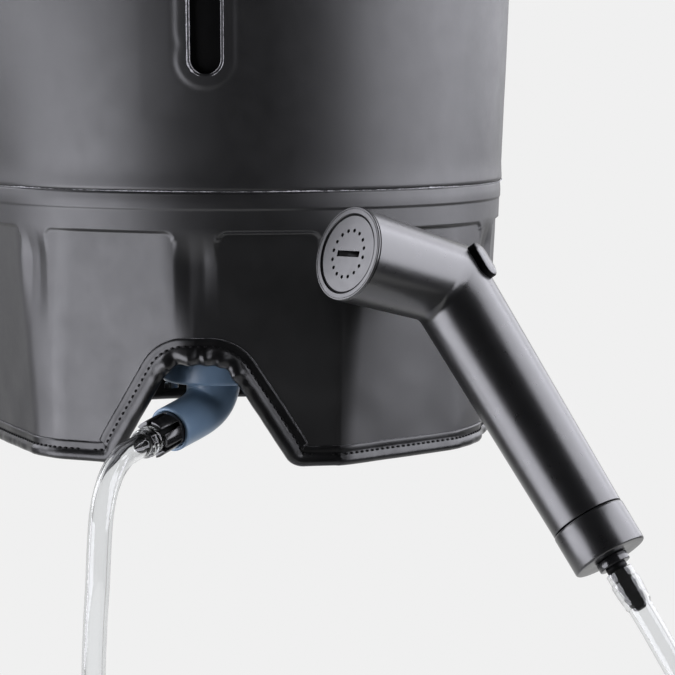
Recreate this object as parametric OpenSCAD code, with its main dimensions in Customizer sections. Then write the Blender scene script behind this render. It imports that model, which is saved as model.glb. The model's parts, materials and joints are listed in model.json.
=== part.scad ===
// Camp shower pump: a covered pressure tank with a hand pump in its lid, an outlet, a hose and a hand shower.
// Millimetres, Z up, the front faces -Y. The origin is the hang point, midway between the two hang eyes.

/* [Cover] */
// Outer radius of the cover at its seam
cover_r = 120.5; // [110:0.5:130]
// Outer radius of the sleeve at its top
cover_top_r = 127.5; // [122:0.5:140]
// Outer radius of the skirt's corners at the base
base_r = 116; // [106:0.5:125]
// Height of the seam above the base
seam_h = 112; // [100:1:130]
// Height of the sleeve's top edge above the base
sleeve_h = 300; // [250:1:360]
// Thickness of the sleeve
cloth = 1.6; // [0.8:0.1:2.5]
// Thickness of the padded skirt at the middle of a flat
skirt_wall = 2.2; // [1.5:0.1:4]
// Number of flats round the skirt
flats = 10; // [8:2:12]
// How far a flat's middle lies inside the cover radius
flat_in = 3.2; // [2.5:0.1:5]
// Height of the round band above the flats
band_h = 15; // [8:0.5:25]
// Width of the channel between two flats
channel_w = 12; // [6:0.5:18]
// Depth of the channel
channel_d = 2; // [1:0.1:3]
// Width of the level slot in the sleeve
slot_w = 12.6; // [8:0.2:20]
// Height of the slot's lower end above the base
slot_low = 162; // [140:1:200]
// Distance of the slot's upper end below the sleeve's top edge
slot_below = 24; // [12:1:60]
// Turn of the slot from the front to the right
slot_turn = 2.2; // [0:0.1:5]
// Height of the hem
hem_h = 8.5; // [5:0.5:14]
// Thickness of the hem and of the arch binding
hem_t = 1.2; // [0.6:0.1:2]

/* [Arch] */
// Width of the arch at the base
arch_w = 73; // [60:1:90]
// Width of the arch at its top
arch_top_w = 23; // [20:1:40]
// Height of the arch
arch_h = 41; // [36:0.5:50]
// Corner radius at the arch's top
arch_r = 12; // [6:0.5:14]
// Width of the binding round the arch
binding_w = 10; // [6:0.5:12]

/* [Tank and stand] */
// Wall of the tank
tank_wall = 3; // [2:0.1:5]
// Height of the tank's floor above the base
floor_h = 41.5; // [40:0.5:60]
// Wall of the stand
stand_wall = 2.8; // [2:0.1:4]
// Rise of the tank's shoulder
dome_h = 36; // [25:1:50]
// Outer radius of the filling neck
neck_r = 44; // [42:0.5:50]
// Wall of the filling neck
neck_wall = 4; // [3:0.5:5]
// Height of the neck above the shoulder
neck_h = 24; // [22:1:34]
// Clearance between fixed pieces
gap = 0.3; // [0.1:0.05:0.5]

/* [Hang eyes] */
// Distance of an eye from the tank's axis
eye_x = 88; // [80:1:100]
// Thickness of an eye
eye_t = 9; // [6:0.5:14]
// Outer radius of an eye
eye_r = 20; // [17:0.5:26]
// Radius of an eye's hole
eye_hole_r = 11; // [8:0.5:14]
// Height of the eyes above the shoulder's top
eye_rise = 20; // [14:1:30]
// Thickness of the shoulder ring
ring_t = 4; // [3:0.1:6]

/* [Pump] */
// Radius of the screw cap
cap_r = 51; // [50:0.5:56]
// Thickness of the cap's top
cap_t = 6; // [4:0.5:9]
// Length of the cap's side below the neck's top
cap_side = 18; // [12:0.5:20]
// Number of grip flutes on the cap
cap_flutes = 24; // [16:1:36]
// Thickness of the cap's seal ring
seal_t = 3; // [2:0.5:5]
// Outer radius of the pump barrel
barrel_r = 21; // [19:0.5:24]
// Wall of the pump barrel
barrel_wall = 2; // [1.5:0.1:3]
// Radius of the piston rod
rod_r = 6; // [4:0.5:7]
// Height of the piston
piston_h = 18; // [12:0.5:24]
// Pump stroke
stroke = 140; // [100:1:150]
// Radial running clearance of rods, pistons and turning pieces
run = 0.05; // [0.02:0.01:0.1]
// Length of the handle bar
bar_l = 118; // [90:1:130]
// Radius of the handle bar
bar_r = 10; // [8:0.5:13]
// Radius of the handle's hub
hub_r = 13; // [11:0.5:15]

/* [Relief valve] */
// Distance of the relief valve from the pump's axis
relief_x = 34; // [33:0.5:36]
// Outer radius of the relief valve's body
relief_r = 8; // [7:0.5:9]
// Height of the relief valve's body
relief_h = 12; // [10:0.5:16]
// Radius of the relief valve's knob
knob_r = 7.5; // [6:0.5:9]
// Height of the knob
knob_h = 9.6; // [7:0.2:14]

/* [Outlet] */
// Swing of the socket to the left of the front
outlet_swing = 25; // [15:1:40]
// Dip of the socket below level
outlet_dip = 11.6; // [5:0.1:25]
// Length of the outlet's pipe from the elbow to its mouth
elbow_l = 36; // [32:0.5:40]
// Outer radius of the socket
socket_r = 9.75; // [9:0.25:11]
// Bore radius of the socket
socket_bore = 8.1; // [7:0.1:8.5]
// Radius of the flange under the tank
flange_r = 24; // [20:0.5:26]
// Thickness of the flange
flange_t = 11.5; // [8:0.5:12]
// Number of lugs on the connector's collar
collar_lugs = 6; // [4:1:8]

/* [Hose] */
// Outer diameter of the hose
hose_d = 10; // [8:0.5:11]
// Radius of the stem inside the hose's ends
barb_r = 3.6; // [3:0.1:4]
// Radius of the coil that the spare hose is wound to
coil_r = 60; // [50:1:70]
// Whole turns in the coil before its last half turn
coil_turns = 2; // [1:1:3]
// Step from one turn of the coil to the next
coil_step = 12.5; // [12:0.5:15]

/* [Hand shower] */
// Distance from the skirt to the elbow's centre
reach = 27.5; // [27:0.5:36]
// Angle of the hand shower's place round the tank, from the front to the right
handset_az = 45; // [40:1:50]
// Height of the elbow's centre above the base
handset_h = 75; // [65:1:85]
// Turn of the hand shower about the upright
handset_turn = 57.5; // [50:0.5:65]
// Lean of the hand shower
handset_lean = 38; // [30:0.5:45]
// Angle between the head and the handle
elbow_a = 110; // [100:1:125]
// Radius at the elbow
elbow_r = 17.8; // [17:0.1:20]
// Radius of the handle at its lower end
grip_r = 15.5; // [14:0.1:17]
// Length of the handle from the elbow to the end collar
grip_l = 116.5; // [100:0.5:130]
// Length of the end collar
collar_l = 18.5; // [14:0.5:24]
// Length of the head from the elbow to its face
head_l = 55; // [50:0.5:65]
// Radius of the head at its face
face_r = 19.5; // [19:0.1:21]
// Wall of the hand shower
shell_wall = 2.6; // [2:0.1:3]
// Radius of the spray plate
plate_r = 16; // [15:0.1:16.4]
// Number of spray holes
spray_holes = 16; // [8:1:20]
// Radius of the ring of spray holes
spray_ring_r = 9.7; // [8.5:0.1:12]
// Radius of each spray hole
spray_hole_r = 0.8; // [0.4:0.05:0.9]
// Length of the slot in the spray plate
spray_slot_l = 14; // [8:0.5:14.5]
// Width of the slot in the spray plate
spray_slot_w = 2.5; // [1.5:0.1:3.5]
// Turn of the slot in the spray plate
spray_slot_a = 52; // [0:1:180]
// Length of the flow button
button_l = 16.5; // [12:0.5:20]
// Width of the flow button
button_w = 10; // [8:0.5:11]
// Height of the flow button above the elbow
button_up = 3.4; // [3.2:0.1:5]
// Turn of the button from the back of the handle to its upper flank
button_a = 73; // [60:1:90]
// Travel of the flow button
press = 2.5; // [1.5:0.1:3]
// Radius of the dock that carries the hand shower
dock_r = 10.5; // [8:0.5:12]

/* [Hidden] */
$fn = 64;

black = [0.13, 0.13, 0.14];
charcoal = [0.22, 0.22, 0.23];
blue = [0.35, 0.47, 0.58];
grey = [0.5, 0.5, 0.52];
steel = [0.7, 0.7, 0.72];
rubber = [0.08, 0.08, 0.08];
clear = [0.85, 0.88, 0.9, 0.5];

hang_h = sleeve_h + dome_h + eye_rise;
half_a = 180 / flats;
slot_high = sleeve_h - slot_below;
// Cuts through the front start well inside the cover and end well outside it
cut_from = cover_r / 2;
cut_l = cover_r;
function mix(a, b, t) = a + (b - a) * t;

// Radii of the cover and of what it lies on, at a height above the base
function sleeve_r(z) = mix(cover_r, cover_top_r, (z - seam_h) / (sleeve_h - seam_h));
function corner_r(z) = mix(base_r, cover_r, z / seam_h);
flat_top = cover_r - flat_in;
flat_low = (base_r + 1.2) * cos(half_a);
function flat_r(z) = mix(flat_low, flat_top, z / seam_h);
function stand_r(z) = flat_r(z) - skirt_wall - gap;
function tank_r(z) = sleeve_r(z) - cloth - gap;
stand_top = seam_h - 1;
rest_gap = 0.1;
shoulder_r = tank_r(sleeve_h);
dome_top = sleeve_h + dome_h;
neck_top = dome_top + neck_h;
neck_in = neck_r - neck_wall;

// Quarter ellipse from the shoulder's edge inward, grown by a given amount
function dome(g, q0, q1, n) = [for (i = [0:n]) let (q = mix(q0, q1, i / n))
    [neck_r + (shoulder_r - neck_r + g) * cos(q), sleeve_h + (dome_h + g) * sin(q)]];
function dome_in(n) = [for (i = [0:n]) let (q = 90 - 90 * i / n)
    [neck_in + (shoulder_r - tank_wall - neck_in) * cos(q), sleeve_h + (dome_h - tank_wall) * sin(q)]];

module low() translate([0, 0, -hang_h]) children();

// Outline of the arch, grown by a given amount, as points with round top corners
function arc(c, r, a0, a1, n) = [for (i = [0:n]) let (q = mix(a0, a1, i / n))
    [c[0] + r * cos(q), c[1] + r * sin(q)]];
function arch_points(g) = let (
    lean = atan2((arch_w - arch_top_w) / 2, arch_h),
    r = arch_r + g,
    cy = arch_h - arch_r,
    edge = arch_w / 2 - cy * tan(lean) - arch_r / cos(lean))
    concat([[-arch_w / 2 - g / cos(lean) - 20 * tan(lean), -20],
        [arch_w / 2 + g / cos(lean) + 20 * tan(lean), -20]],
        arc([edge, cy], r, lean, 90, 8), arc([-edge, cy], r, 90, 180 - lean, 8));
module arch(g) translate([0, -cut_from, 0]) rotate([90, 0, 0]) linear_extrude(cut_l)
    polygon(arch_points(g));

// Solid inside the skirt's outer face, grown by a given amount, up to a given height
flat_lean = atan2(flat_top - flat_low, seam_h);
module outside_flat(a, g) rotate([0, 0, a]) translate([0, -flat_low - g / cos(flat_lean), 0])
    rotate([flat_lean, 0, 0])
    translate([-base_r, -50, -50]) cube([2 * base_r, 50, 2 * seam_h]);
module skirt_form(g, top) difference() {
    cylinder(h = top, r1 = corner_r(0) + g, r2 = corner_r(top) + g);
    for (i = [0:flats - 1]) outside_flat((2 * i + 1) * half_a, g);
}

module tank_form() rotate_extrude() polygon(concat(
    [[0, floor_h], [stand_r(floor_h) - stand_wall - gap - 9, floor_h],
        [stand_r(floor_h + 9) - stand_wall - gap, floor_h + 9],
        [stand_r(stand_top) - stand_wall - gap, stand_top + rest_gap],
        [tank_r(stand_top), stand_top + rest_gap]],
    dome(0, 0, 90, 10),
    [[neck_r, neck_top], [neck_in, neck_top]],
    dome_in(10),
    [[tank_r(stand_top) - tank_wall, stand_top + rest_gap + tank_wall],
        [stand_r(stand_top) - stand_wall - gap - tank_wall, stand_top + rest_gap + tank_wall],
        [stand_r(floor_h + 9) - stand_wall - gap - tank_wall, floor_h + 9],
        [stand_r(floor_h) - stand_wall - gap - 9 - tank_wall / 2, floor_h + tank_wall],
        [0, floor_h + tank_wall]]));
module tank_body() color(black) difference() {
    low() tank_form();
    low() translate([elbow_at[0], elbow_at[1], floor_h - 1]) cylinder(h = tank_wall + 2, r = drain_r);
    flange_bolts(1.6);
}

stand_low = 1;
module base_stand() color(black) low() difference() {
    translate([0, 0, stand_low]) cylinder(h = stand_top - stand_low, r1 = stand_r(stand_low),
        r2 = stand_r(stand_top));
    translate([0, 0, stand_low - 1])
        cylinder(h = stand_top - stand_low + 2, r1 = stand_r(stand_low - 1) - stand_wall,
            r2 = stand_r(stand_top + 1) - stand_wall);
    arch(5);
    dock_bolt(screw_r + 0.2);
}

module slot(g) rotate([0, 0, slot_turn]) translate([0, -cut_from, 0]) rotate([90, 0, 0])
    linear_extrude(cut_l) union() {
    translate([-slot_w / 2 - g, slot_low + slot_w / 2])
        square([slot_w + 2 * g, slot_high - slot_low - slot_w]);
    translate([0, slot_low + slot_w / 2]) circle(slot_w / 2 + g);
    translate([0, slot_high - slot_w / 2]) circle(slot_w / 2 + g);
}
module sleeve() color(black) low() difference() {
    rotate_extrude() polygon([[sleeve_r(seam_h) - cloth, seam_h], [sleeve_r(seam_h), seam_h],
        [sleeve_r(sleeve_h), sleeve_h], [sleeve_r(sleeve_h) - cloth, sleeve_h]]);
    slot(0);
}

// Cut of one channel, its floor set back from the corner's face
channel_low = arch_h + binding_w + 4;
channel_high = seam_h - band_h;
module channels() for (i = [0:flats - 1]) rotate([0, 0, i * 2 * half_a])
    translate([0, -(corner_r(channel_high) - channel_d), channel_high])
        rotate([atan2(corner_r(channel_high) - corner_r(0), channel_high) * 0.6, 0, 0])
            rotate([90, 0, 0]) linear_extrude(20)
                polygon([[-channel_w / 2, 0], [-channel_w / 4, channel_low - channel_high],
                    [channel_w / 4, channel_low - channel_high], [channel_w / 2, 0]]);
module skirt($fn = 200) color(black) low() difference() {
    union() {
        skirt_form(0, channel_high);
        translate([0, 0, channel_high])
            cylinder(h = seam_h - rest_gap - channel_high, r1 = corner_r(channel_high), r2 = cover_r);
    }
    translate([0, 0, -1]) cylinder(h = stand_top + 1 + gap, r1 = stand_r(-1) + gap,
        r2 = stand_r(stand_top + gap) + gap);
    translate([0, 0, stand_top]) cylinder(h = seam_h, r = tank_r(stand_top) + gap);
    channels();
    arch(0);
    dock_bolt(screw_r + 0.2);
}
module skin() difference() {
    skirt_form(hem_t, channel_low);
    skirt_form(0.05, channel_low + 0.01);
}
module skirt_hem() color(black) low() difference() {
    intersection() {
        skin();
        cylinder(h = hem_h, r = 2 * base_r);
    }
    arch(binding_w + 0.1);
}
module arch_binding() color(black) low() difference() {
    intersection() {
        skin();
        arch(binding_w);
        translate([-base_r, -2 * base_r, 0]) cube([2 * base_r, 2 * base_r, seam_h]);
    }
    arch(0);
}

// Shoulder ring with its two hang eyes
lip_h = 8;
module shoulder_ring() color(charcoal) low() difference() {
    union() {
        rotate_extrude() polygon(concat(
            [[sleeve_r(sleeve_h) + gap, sleeve_h - lip_h],
                [sleeve_r(sleeve_h) + gap + 2.2, sleeve_h - lip_h]],
            [for (p = dome(ring_t + gap, 0, 76, 10)) p],
            [for (p = dome(gap, 76, 0, 10)) p],
            [[sleeve_r(sleeve_h) + gap, sleeve_h + gap]]));
        for (s = [-1, 1]) intersection() {
            union() {
                translate([s * eye_x - eye_t / 2, 0, hang_h]) rotate([0, 90, 0])
                    cylinder(h = eye_t, r = eye_r);
                translate([s * eye_x - eye_t / 2, -eye_r, sleeve_h])
                    cube([eye_t, 2 * eye_r, hang_h - sleeve_h]);
            }
            translate([0, 0, sleeve_h]) cylinder(h = hang_h, r = 2 * cover_r);
        }
    }
    rotate_extrude() polygon(concat([[0, sleeve_h - 1], [shoulder_r + gap, sleeve_h - 1]],
        dome(gap, 0, 90, 10),
        [[0, dome_top + gap]]));
    for (s = [-1, 1]) translate([s * eye_x - eye_t, 0, hang_h]) rotate([0, 90, 0])
        cylinder(h = 2 * eye_t, r = eye_hole_r);
}

// Pump
plate_low = neck_top + seal_t;
cap_top = plate_low + cap_t;
barrel_in = barrel_r - barrel_wall;
// The barrel has room for the stroke, the piston and the guide, and length to spare
barrel_l = stroke + piston_h + 57;
guide_r = rod_r + 4;
guide_flange = 6;
cage_h = 10;
barrel_low = plate_low - barrel_l;
piston_low = barrel_low + 2;
handle_low = cap_top + guide_flange + 0.5;
bar_z = handle_low + 17 + bar_r;
rod_top = bar_z - 4;
pin_z = handle_low + 9;
pin_r = 2;
module flutes(r, n, z0, h, cut) for (i = [0:n - 1]) rotate([0, 0, i * 360 / n])
    translate([r + cut * 0.7, 0, z0])
    cylinder(h = h, r = cut * 1.4, $fn = 24);
module pump_cap() color(charcoal) low() difference() {
    union() {
        translate([0, 0, neck_top - cap_side]) cylinder(h = cap_side + seal_t + cap_t - 2, r = cap_r);
        translate([0, 0, cap_top - 2]) cylinder(h = 2, r1 = cap_r, r2 = cap_r - 2);
    }
    translate([0, 0, neck_top - cap_side - 1]) cylinder(h = cap_side + 1 + seal_t, r = neck_r + 0.4);
    translate([0, 0, plate_low - 1]) cylinder(h = cap_t + 2, r = guide_r + gap);
    translate([0, -relief_x, plate_low - 1]) cylinder(h = cap_t + 2, r = 3);
    flutes(cap_r, cap_flutes, neck_top - cap_side - 1, cap_side + seal_t, 2);
}
module pump_seal() color(rubber) low() translate([0, 0, neck_top]) difference() {
    cylinder(h = seal_t, r = neck_r - 0.4);
    translate([0, 0, -1]) cylinder(h = seal_t + 2, r = neck_in + 0.4);
}
module pump_barrel() color(grey) low() difference() {
    union() {
        translate([0, 0, barrel_low]) cylinder(h = barrel_l, r = barrel_r);
        translate([0, 0, plate_low - 5]) cylinder(h = 5, r = barrel_r + 6);
    }
    translate([0, 0, barrel_low - 1]) cylinder(h = barrel_l + 2, r = barrel_in);
}
module rod_guide() color(grey) low() difference() {
    union() {
        translate([0, 0, plate_low - 8]) cylinder(h = cap_t + 8, r = guide_r);
        translate([0, 0, cap_top]) cylinder(h = guide_flange, r = guide_r + 4);
    }
    translate([0, 0, plate_low - 9]) cylinder(h = cap_t + guide_flange + 12, r = rod_r + run);
}
module pump_rod() color(steel) low() difference() {
    translate([0, 0, piston_low + piston_h]) cylinder(h = rod_top - piston_low - piston_h, r = rod_r);
    translate([0, hub_r, pin_z]) rotate([90, 0, 0]) cylinder(h = 2 * hub_r, r = pin_r);
}
piston_r = barrel_in - run;
groove_r = piston_r - 2.4;
module piston() color(black) low() translate([0, 0, piston_low]) difference() {
    cylinder(h = piston_h, r = piston_r);
    translate([0, 0, piston_h / 2 - 1.6]) difference() {
        cylinder(h = 3.2, r = piston_r + 1);
        translate([0, 0, -1]) cylinder(h = 6, r = groove_r);
    }
}
module piston_seal() color(rubber) low() translate([0, 0, piston_low + piston_h / 2 - 1.4]) difference() {
    cylinder(h = 2.8, r = barrel_in - 0.02);
    translate([0, 0, -1]) cylinder(h = 6, r = groove_r + 0.05);
}
module valve_cage() color(black) low() translate([0, 0, barrel_low - cage_h]) difference() {
    cylinder(h = cage_h, r = barrel_r);
    translate([0, 0, 4]) cylinder(h = cage_h, r = barrel_in - 4);
    for (i = [0:5]) rotate([0, 0, i * 60]) translate([barrel_in / 2.4, 0, -1])
        cylinder(h = 6, r = 2.2, $fn = 24);
}
module check_valve() color(rubber) low() translate([0, 0, barrel_low - cage_h + 4])
    cylinder(h = 1.5, r = barrel_in - 5);
module pump_handle() color(charcoal) low() difference() {
    union() {
        translate([0, 0, handle_low]) cylinder(h = bar_z - handle_low, r = hub_r);
        translate([-bar_l / 2 + bar_r, 0, bar_z]) rotate([0, 90, 0])
            cylinder(h = bar_l - 2 * bar_r, r = bar_r);
        for (s = [-1, 1]) translate([s * (bar_l / 2 - bar_r), 0, bar_z]) sphere(r = bar_r);
    }
    translate([0, 0, handle_low - 1]) cylinder(h = rod_top - handle_low + 1.02, r = rod_r + 0.02);
    translate([0, 2 * hub_r, pin_z]) rotate([90, 0, 0]) cylinder(h = 4 * hub_r, r = pin_r + 0.02);
}
module handle_pin() color(steel) low() translate([0, hub_r - 0.5, pin_z]) rotate([90, 0, 0])
    cylinder(h = 2 * hub_r - 1, r = pin_r - 0.02);

// Relief valve on the cap
stem_r = 2;
relief_seal_t = 2;
relief_lid = 3;
module at_relief(z) low() translate([0, -relief_x, z]) children();
module relief_body() color(blue) at_relief(cap_top) difference() {
    cylinder(h = relief_h, r = relief_r);
    translate([0, 0, -1]) cylinder(h = relief_h + 2, r = relief_r - 1.8);
}
module relief_cap() color(black) at_relief(cap_top + relief_h - relief_lid) difference() {
    cylinder(h = relief_lid, r = relief_r - 1.82);
    translate([0, 0, -1]) cylinder(h = relief_lid + 2, r = stem_r + run);
}
module relief_seal() color(rubber) at_relief(cap_top) cylinder(h = relief_seal_t, r = relief_r - 2.4);
module relief_stem() color(steel) at_relief(cap_top + relief_seal_t)
    cylinder(h = relief_h - relief_seal_t + 0.4 + knob_h / 2, r = stem_r);
module relief_knob() color(blue) at_relief(cap_top + relief_h + 0.4) difference() {
    union() {
        cylinder(h = knob_h - 1.5, r = knob_r);
        translate([0, 0, knob_h - 1.5]) cylinder(h = 1.5, r1 = knob_r, r2 = knob_r - 1.5);
    }
    translate([0, 0, -1]) cylinder(h = knob_h / 2 + 1.02, r = stem_r + 0.02);
    flutes(knob_r, 12, -1, knob_h - 2.5, 1);
}

// Closed tube along points: each ring is square to the path, and a set direction keeps it from turning
function unit(v) = v / norm(v);
function way(p, i) = unit(p[min(i + 1, len(p) - 1)] - p[max(i - 1, 0)]);
function tube_points(p, r, n, ref) = [for (i = [0:len(p) - 1])
    let (t = way(p, i), u = unit(cross(ref, t)), v = cross(t, u))
    for (k = [0:n - 1]) p[i] + r * (cos(360 * k / n) * u + sin(360 * k / n) * v)];
function tube_faces(m, n) = concat(
    [for (k = [1:n - 2]) [0, k + 1, k]],
    [for (i = [0:m - 2]) for (k = [0:n - 1]) [i * n + k, i * n + (k + 1) % n, (i + 1) * n + k]],
    [for (i = [0:m - 2]) for (k = [0:n - 1])
        [i * n + (k + 1) % n, (i + 1) * n + (k + 1) % n, (i + 1) * n + k]],
    [for (k = [1:n - 2]) [(m - 1) * n, (m - 1) * n + k, (m - 1) * n + k + 1]]);
module tube(p, r, n, ref) polyhedron(tube_points(p, r, n, ref),
    [for (f = tube_faces(len(p), n)) [f[0], f[2], f[1]]]);
function least_gap(p, d, skip) = min([for (i = [0:len(p) - 1]) for (j = [i + skip:1:len(p) - 1])
    norm(p[i] - p[j])]) - d;

// Spring along +Z with flat end turns
function spring(r, h, turns) = [for (i = [0:turns * 8])
    [r * cos(i * 45), r * sin(i * 45), h * i / (turns * 8)]];
module coil_spring(r, h, turns, wire) let (p = spring(r, h - wire, turns))
    translate([0, 0, wire / 2]) tube([for (q = p) q], wire / 2, 6, [0, 0, 1]);
relief_room = relief_h - relief_lid - relief_seal_t;
module relief_spring() color(steel) at_relief(cap_top + relief_seal_t + 0.1)
    coil_spring(relief_r - 3.6, relief_room - 0.2, 3, 0.7);

// Outlet below the tank and the connector in its socket; along +Z of this place the water leaves
outlet_at = [-12.5, -base_r + 1, 12.5];
outlet_turn = [0, 90 + outlet_dip, 270 - outlet_swing];
outlet_dir = [cos(outlet_dip) * cos(270 - outlet_swing),
    cos(outlet_dip) * sin(270 - outlet_swing), -sin(outlet_dip)];
flange_top = floor_h - 1;
flange_low = flange_top - flange_t;
elbow_at = outlet_at - elbow_l * outlet_dir;
flange_back = 2;
flange_at = [elbow_at[0], elbow_at[1] + flange_back, 0];
riser_r = socket_r + 0.9;
riser_low = elbow_at[2] - socket_r / cos(outlet_dip) - riser_r * tan(outlet_dip) - 0.4;
socket_l = 14;
water_r = 4;
drain_r = 4.6;
bolt_in = 1.8;
bolt_turns = [-20, 90, 200];
module at_outlet() low() translate(outlet_at) rotate(outlet_turn) children();
module outlet_elbow() color(blue) difference() {
    union() {
        low() translate([flange_at[0], flange_at[1], flange_low]) cylinder(h = flange_t, r = flange_r);
        low() translate([elbow_at[0], elbow_at[1], riser_low])
            cylinder(h = flange_low - riser_low + 1, r = riser_r);
        at_outlet() translate([0, 0, -elbow_l]) cylinder(h = elbow_l, r = socket_r);
    }
    low() translate([0, 0, flange_top]) cylinder(h = 40, r = 2 * base_r);
    at_outlet() translate([0, 0, -socket_l]) cylinder(h = socket_l + 1, r = socket_bore);
    at_outlet() translate([0, 0, -elbow_l]) cylinder(h = elbow_l, r = water_r);
    low() translate(elbow_at) cylinder(h = flange_top - elbow_at[2] + 1, r = drain_r);
    flange_bolts(1.6);
}
module flange_bolts(r) for (a = bolt_turns) low()
    translate([flange_at[0], flange_at[1], flange_low - 1]) rotate([0, 0, a]) translate([flange_r - 4, 0, 0])
        cylinder(h = floor_h + bolt_in + 0.2 - flange_low + 1, r = r, $fn = 24);
module outlet_gasket() color(rubber) low() difference() {
    translate([flange_at[0], flange_at[1], flange_top]) cylinder(h = floor_h - flange_top, r = flange_r - 8);
    translate([elbow_at[0], elbow_at[1], flange_top - 1]) cylinder(h = 3, r = drain_r);
}
module flange_screws() color(steel) {
    intersection() {
        flange_bolts(1.55);
        low() cylinder(h = floor_h + bolt_in, r = 2 * base_r);
    }
    for (a = bolt_turns) low() translate([flange_at[0], flange_at[1], flange_low - 2]) rotate([0, 0, a])
        translate([flange_r - 4, 0, 0]) cylinder(h = 2, r = 3, $fn = 24);
}
collar_out = 13;
collar_in = 8.6;
barb_stem_r = barb_r + 0.8;
hose_from = collar_out + 0.4;
hose_on_barb = 8;
barb_tip = hose_from + hose_on_barb;
module connector_collar() color(black) at_outlet() difference() {
    translate([0, 0, -collar_in]) cylinder(h = collar_in + collar_out, r = socket_bore - run);
    translate([0, 0, -collar_in - 1]) cylinder(h = collar_in + collar_out + 2, r = barb_stem_r + run);
    translate([0, 0, 1.5]) cylinder(h = collar_out, r = socket_bore - 2.2);
    for (i = [0:collar_lugs - 1]) rotate([0, 0, i * 360 / collar_lugs]) translate([0, -1.2, 1.5])
        cube([socket_bore + 1, 2.4, collar_out]);
}
module ridges(z0, z1, n, r, out) for (i = [0:n - 1]) translate([0, 0, z0 + i * (z1 - z0) / n])
    cylinder(h = (z1 - z0) / n * 0.8, r1 = r + out, r2 = r);
module hose_barb() color(black) at_outlet() difference() {
    union() {
        translate([0, 0, -socket_l + 1]) cylinder(h = socket_l - collar_in - 1.1, r = socket_bore - 0.1);
        translate([0, 0, -collar_in - 0.2]) cylinder(h = collar_in + hose_from - 0.2, r = barb_stem_r);
        translate([0, 0, hose_from - 0.5]) cylinder(h = hose_on_barb + 0.4, r = barb_r);
        ridges(hose_from + 0.4, barb_tip - 0.4, 3, barb_r, 0.5);
    }
    translate([0, 0, -socket_l]) cylinder(h = 40, r = barb_r - 1.2);
    translate([0, 0, -socket_l + 2]) difference() {
        cylinder(h = 1.8, r = socket_bore + 1);
        translate([0, 0, -1]) cylinder(h = 4, r = socket_bore - 1.7);
    }
}
module barb_ring() color(rubber) at_outlet() translate([0, 0, -socket_l + 2.1]) difference() {
    cylinder(h = 1.6, r = socket_bore - 0.02);
    translate([0, 0, -1]) cylinder(h = 4, r = socket_bore - 1.65);
}
// How far the hose swells over its two barbs
tank_swell = 1.2;
shower_swell = 1.6;
module hose_end_tank() color(clear) at_outlet() translate([0, 0, hose_from]) difference() {
    cylinder(h = hose_on_barb, r = hose_d / 2 + tank_swell);
    translate([0, 0, -1]) cylinder(h = hose_on_barb + 2, r = barb_r + 0.55);
}

// Hand shower: its own place has the handle along -Z and the upper flank towards -Y
skirt_at = corner_r(handset_h);
elbow_c = [(skirt_at + reach) * sin(handset_az), -(skirt_at + reach) * cos(handset_az), handset_h];
module at_handset() low() translate(elbow_c) rotate([-handset_lean, 0, handset_turn]) children();
head_turn = [0, elbow_a - 180, 0];
mitre_turn = [0, (elbow_a - 180) / 2, 0];
function grip(z) = mix(elbow_r, grip_r, -z / grip_l);
function head(z) = mix(elbow_r, face_r, z / head_l);
over = 30;
big = 300;
lap = 0.05;
module handset_form(g, low_z, face_z) {
    intersection() {
        translate([0, 0, low_z]) cylinder(h = over - low_z, r1 = grip(low_z) + g, r2 = grip(over) + g);
        rotate(mitre_turn) translate([-big / 2, -big / 2, lap - big]) cube(big);
    }
    intersection() {
        rotate(head_turn) translate([0, 0, -over])
            cylinder(h = over + face_z, r1 = head(-over) + g, r2 = head(face_z) + g);
        rotate(mitre_turn) translate([-big / 2, -big / 2, 0]) cube(big);
    }
}
button_z = -1.5;
module at_button() rotate([0, 0, -button_a]) translate([0, 0, button_z]) children();
module oblong(l, w, x0, x1) translate([x0, 0, 0]) rotate([90, 0, 90]) linear_extrude(x1 - x0) union() {
    translate([-w / 2, -(l - w) / 2]) square([w, l - w]);
    translate([0, (l - w) / 2]) circle(w / 2);
    translate([0, -(l - w) / 2]) circle(w / 2);
}
bezel_t = 4;
module handset_shell() color(charcoal) at_handset() difference() {
    handset_form(0, -grip_l, head_l - bezel_t);
    handset_form(-shell_wall, -grip_l - 1, head_l);
    at_button() oblong(button_l + 2 * gap, button_w + 2 * gap, elbow_r - 3 * shell_wall, 2 * elbow_r);
}
module spray_bezel() color(charcoal) at_handset() rotate(head_turn) translate([0, 0, head_l - bezel_t])
    difference() {
    cylinder(h = bezel_t, r1 = head(head_l - bezel_t), r2 = face_r);
    translate([0, 0, -1]) cylinder(h = bezel_t + 2, r = plate_r + 0.5);
}
plate_t = 4;
spray_slot_d = 2;
hub_t = 5;
hub_low = head_l - plate_t - 0.6 - hub_t - 2;
boss_r = 6;
module spray_plate() color(charcoal) at_handset() rotate(head_turn) difference() {
    union() {
        translate([0, 0, head_l - plate_t - 0.6]) cylinder(h = plate_t, r = plate_r);
        translate([0, 0, hub_low]) cylinder(h = head_l - plate_t - 0.5 - hub_low, r = boss_r);
    }
    for (i = [0:spray_holes - 1]) rotate([0, 0, i * 360 / spray_holes])
        translate([spray_ring_r, 0, head_l - plate_t - 2])
        cylinder(h = plate_t + 4, r = spray_hole_r, $fn = 24);
    rotate([0, 0, spray_slot_a])
        translate([-spray_slot_l / 2, -spray_slot_w / 2, head_l - 0.6 - spray_slot_d])
        cube([spray_slot_l, spray_slot_w, spray_slot_d + 1]);
}
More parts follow.
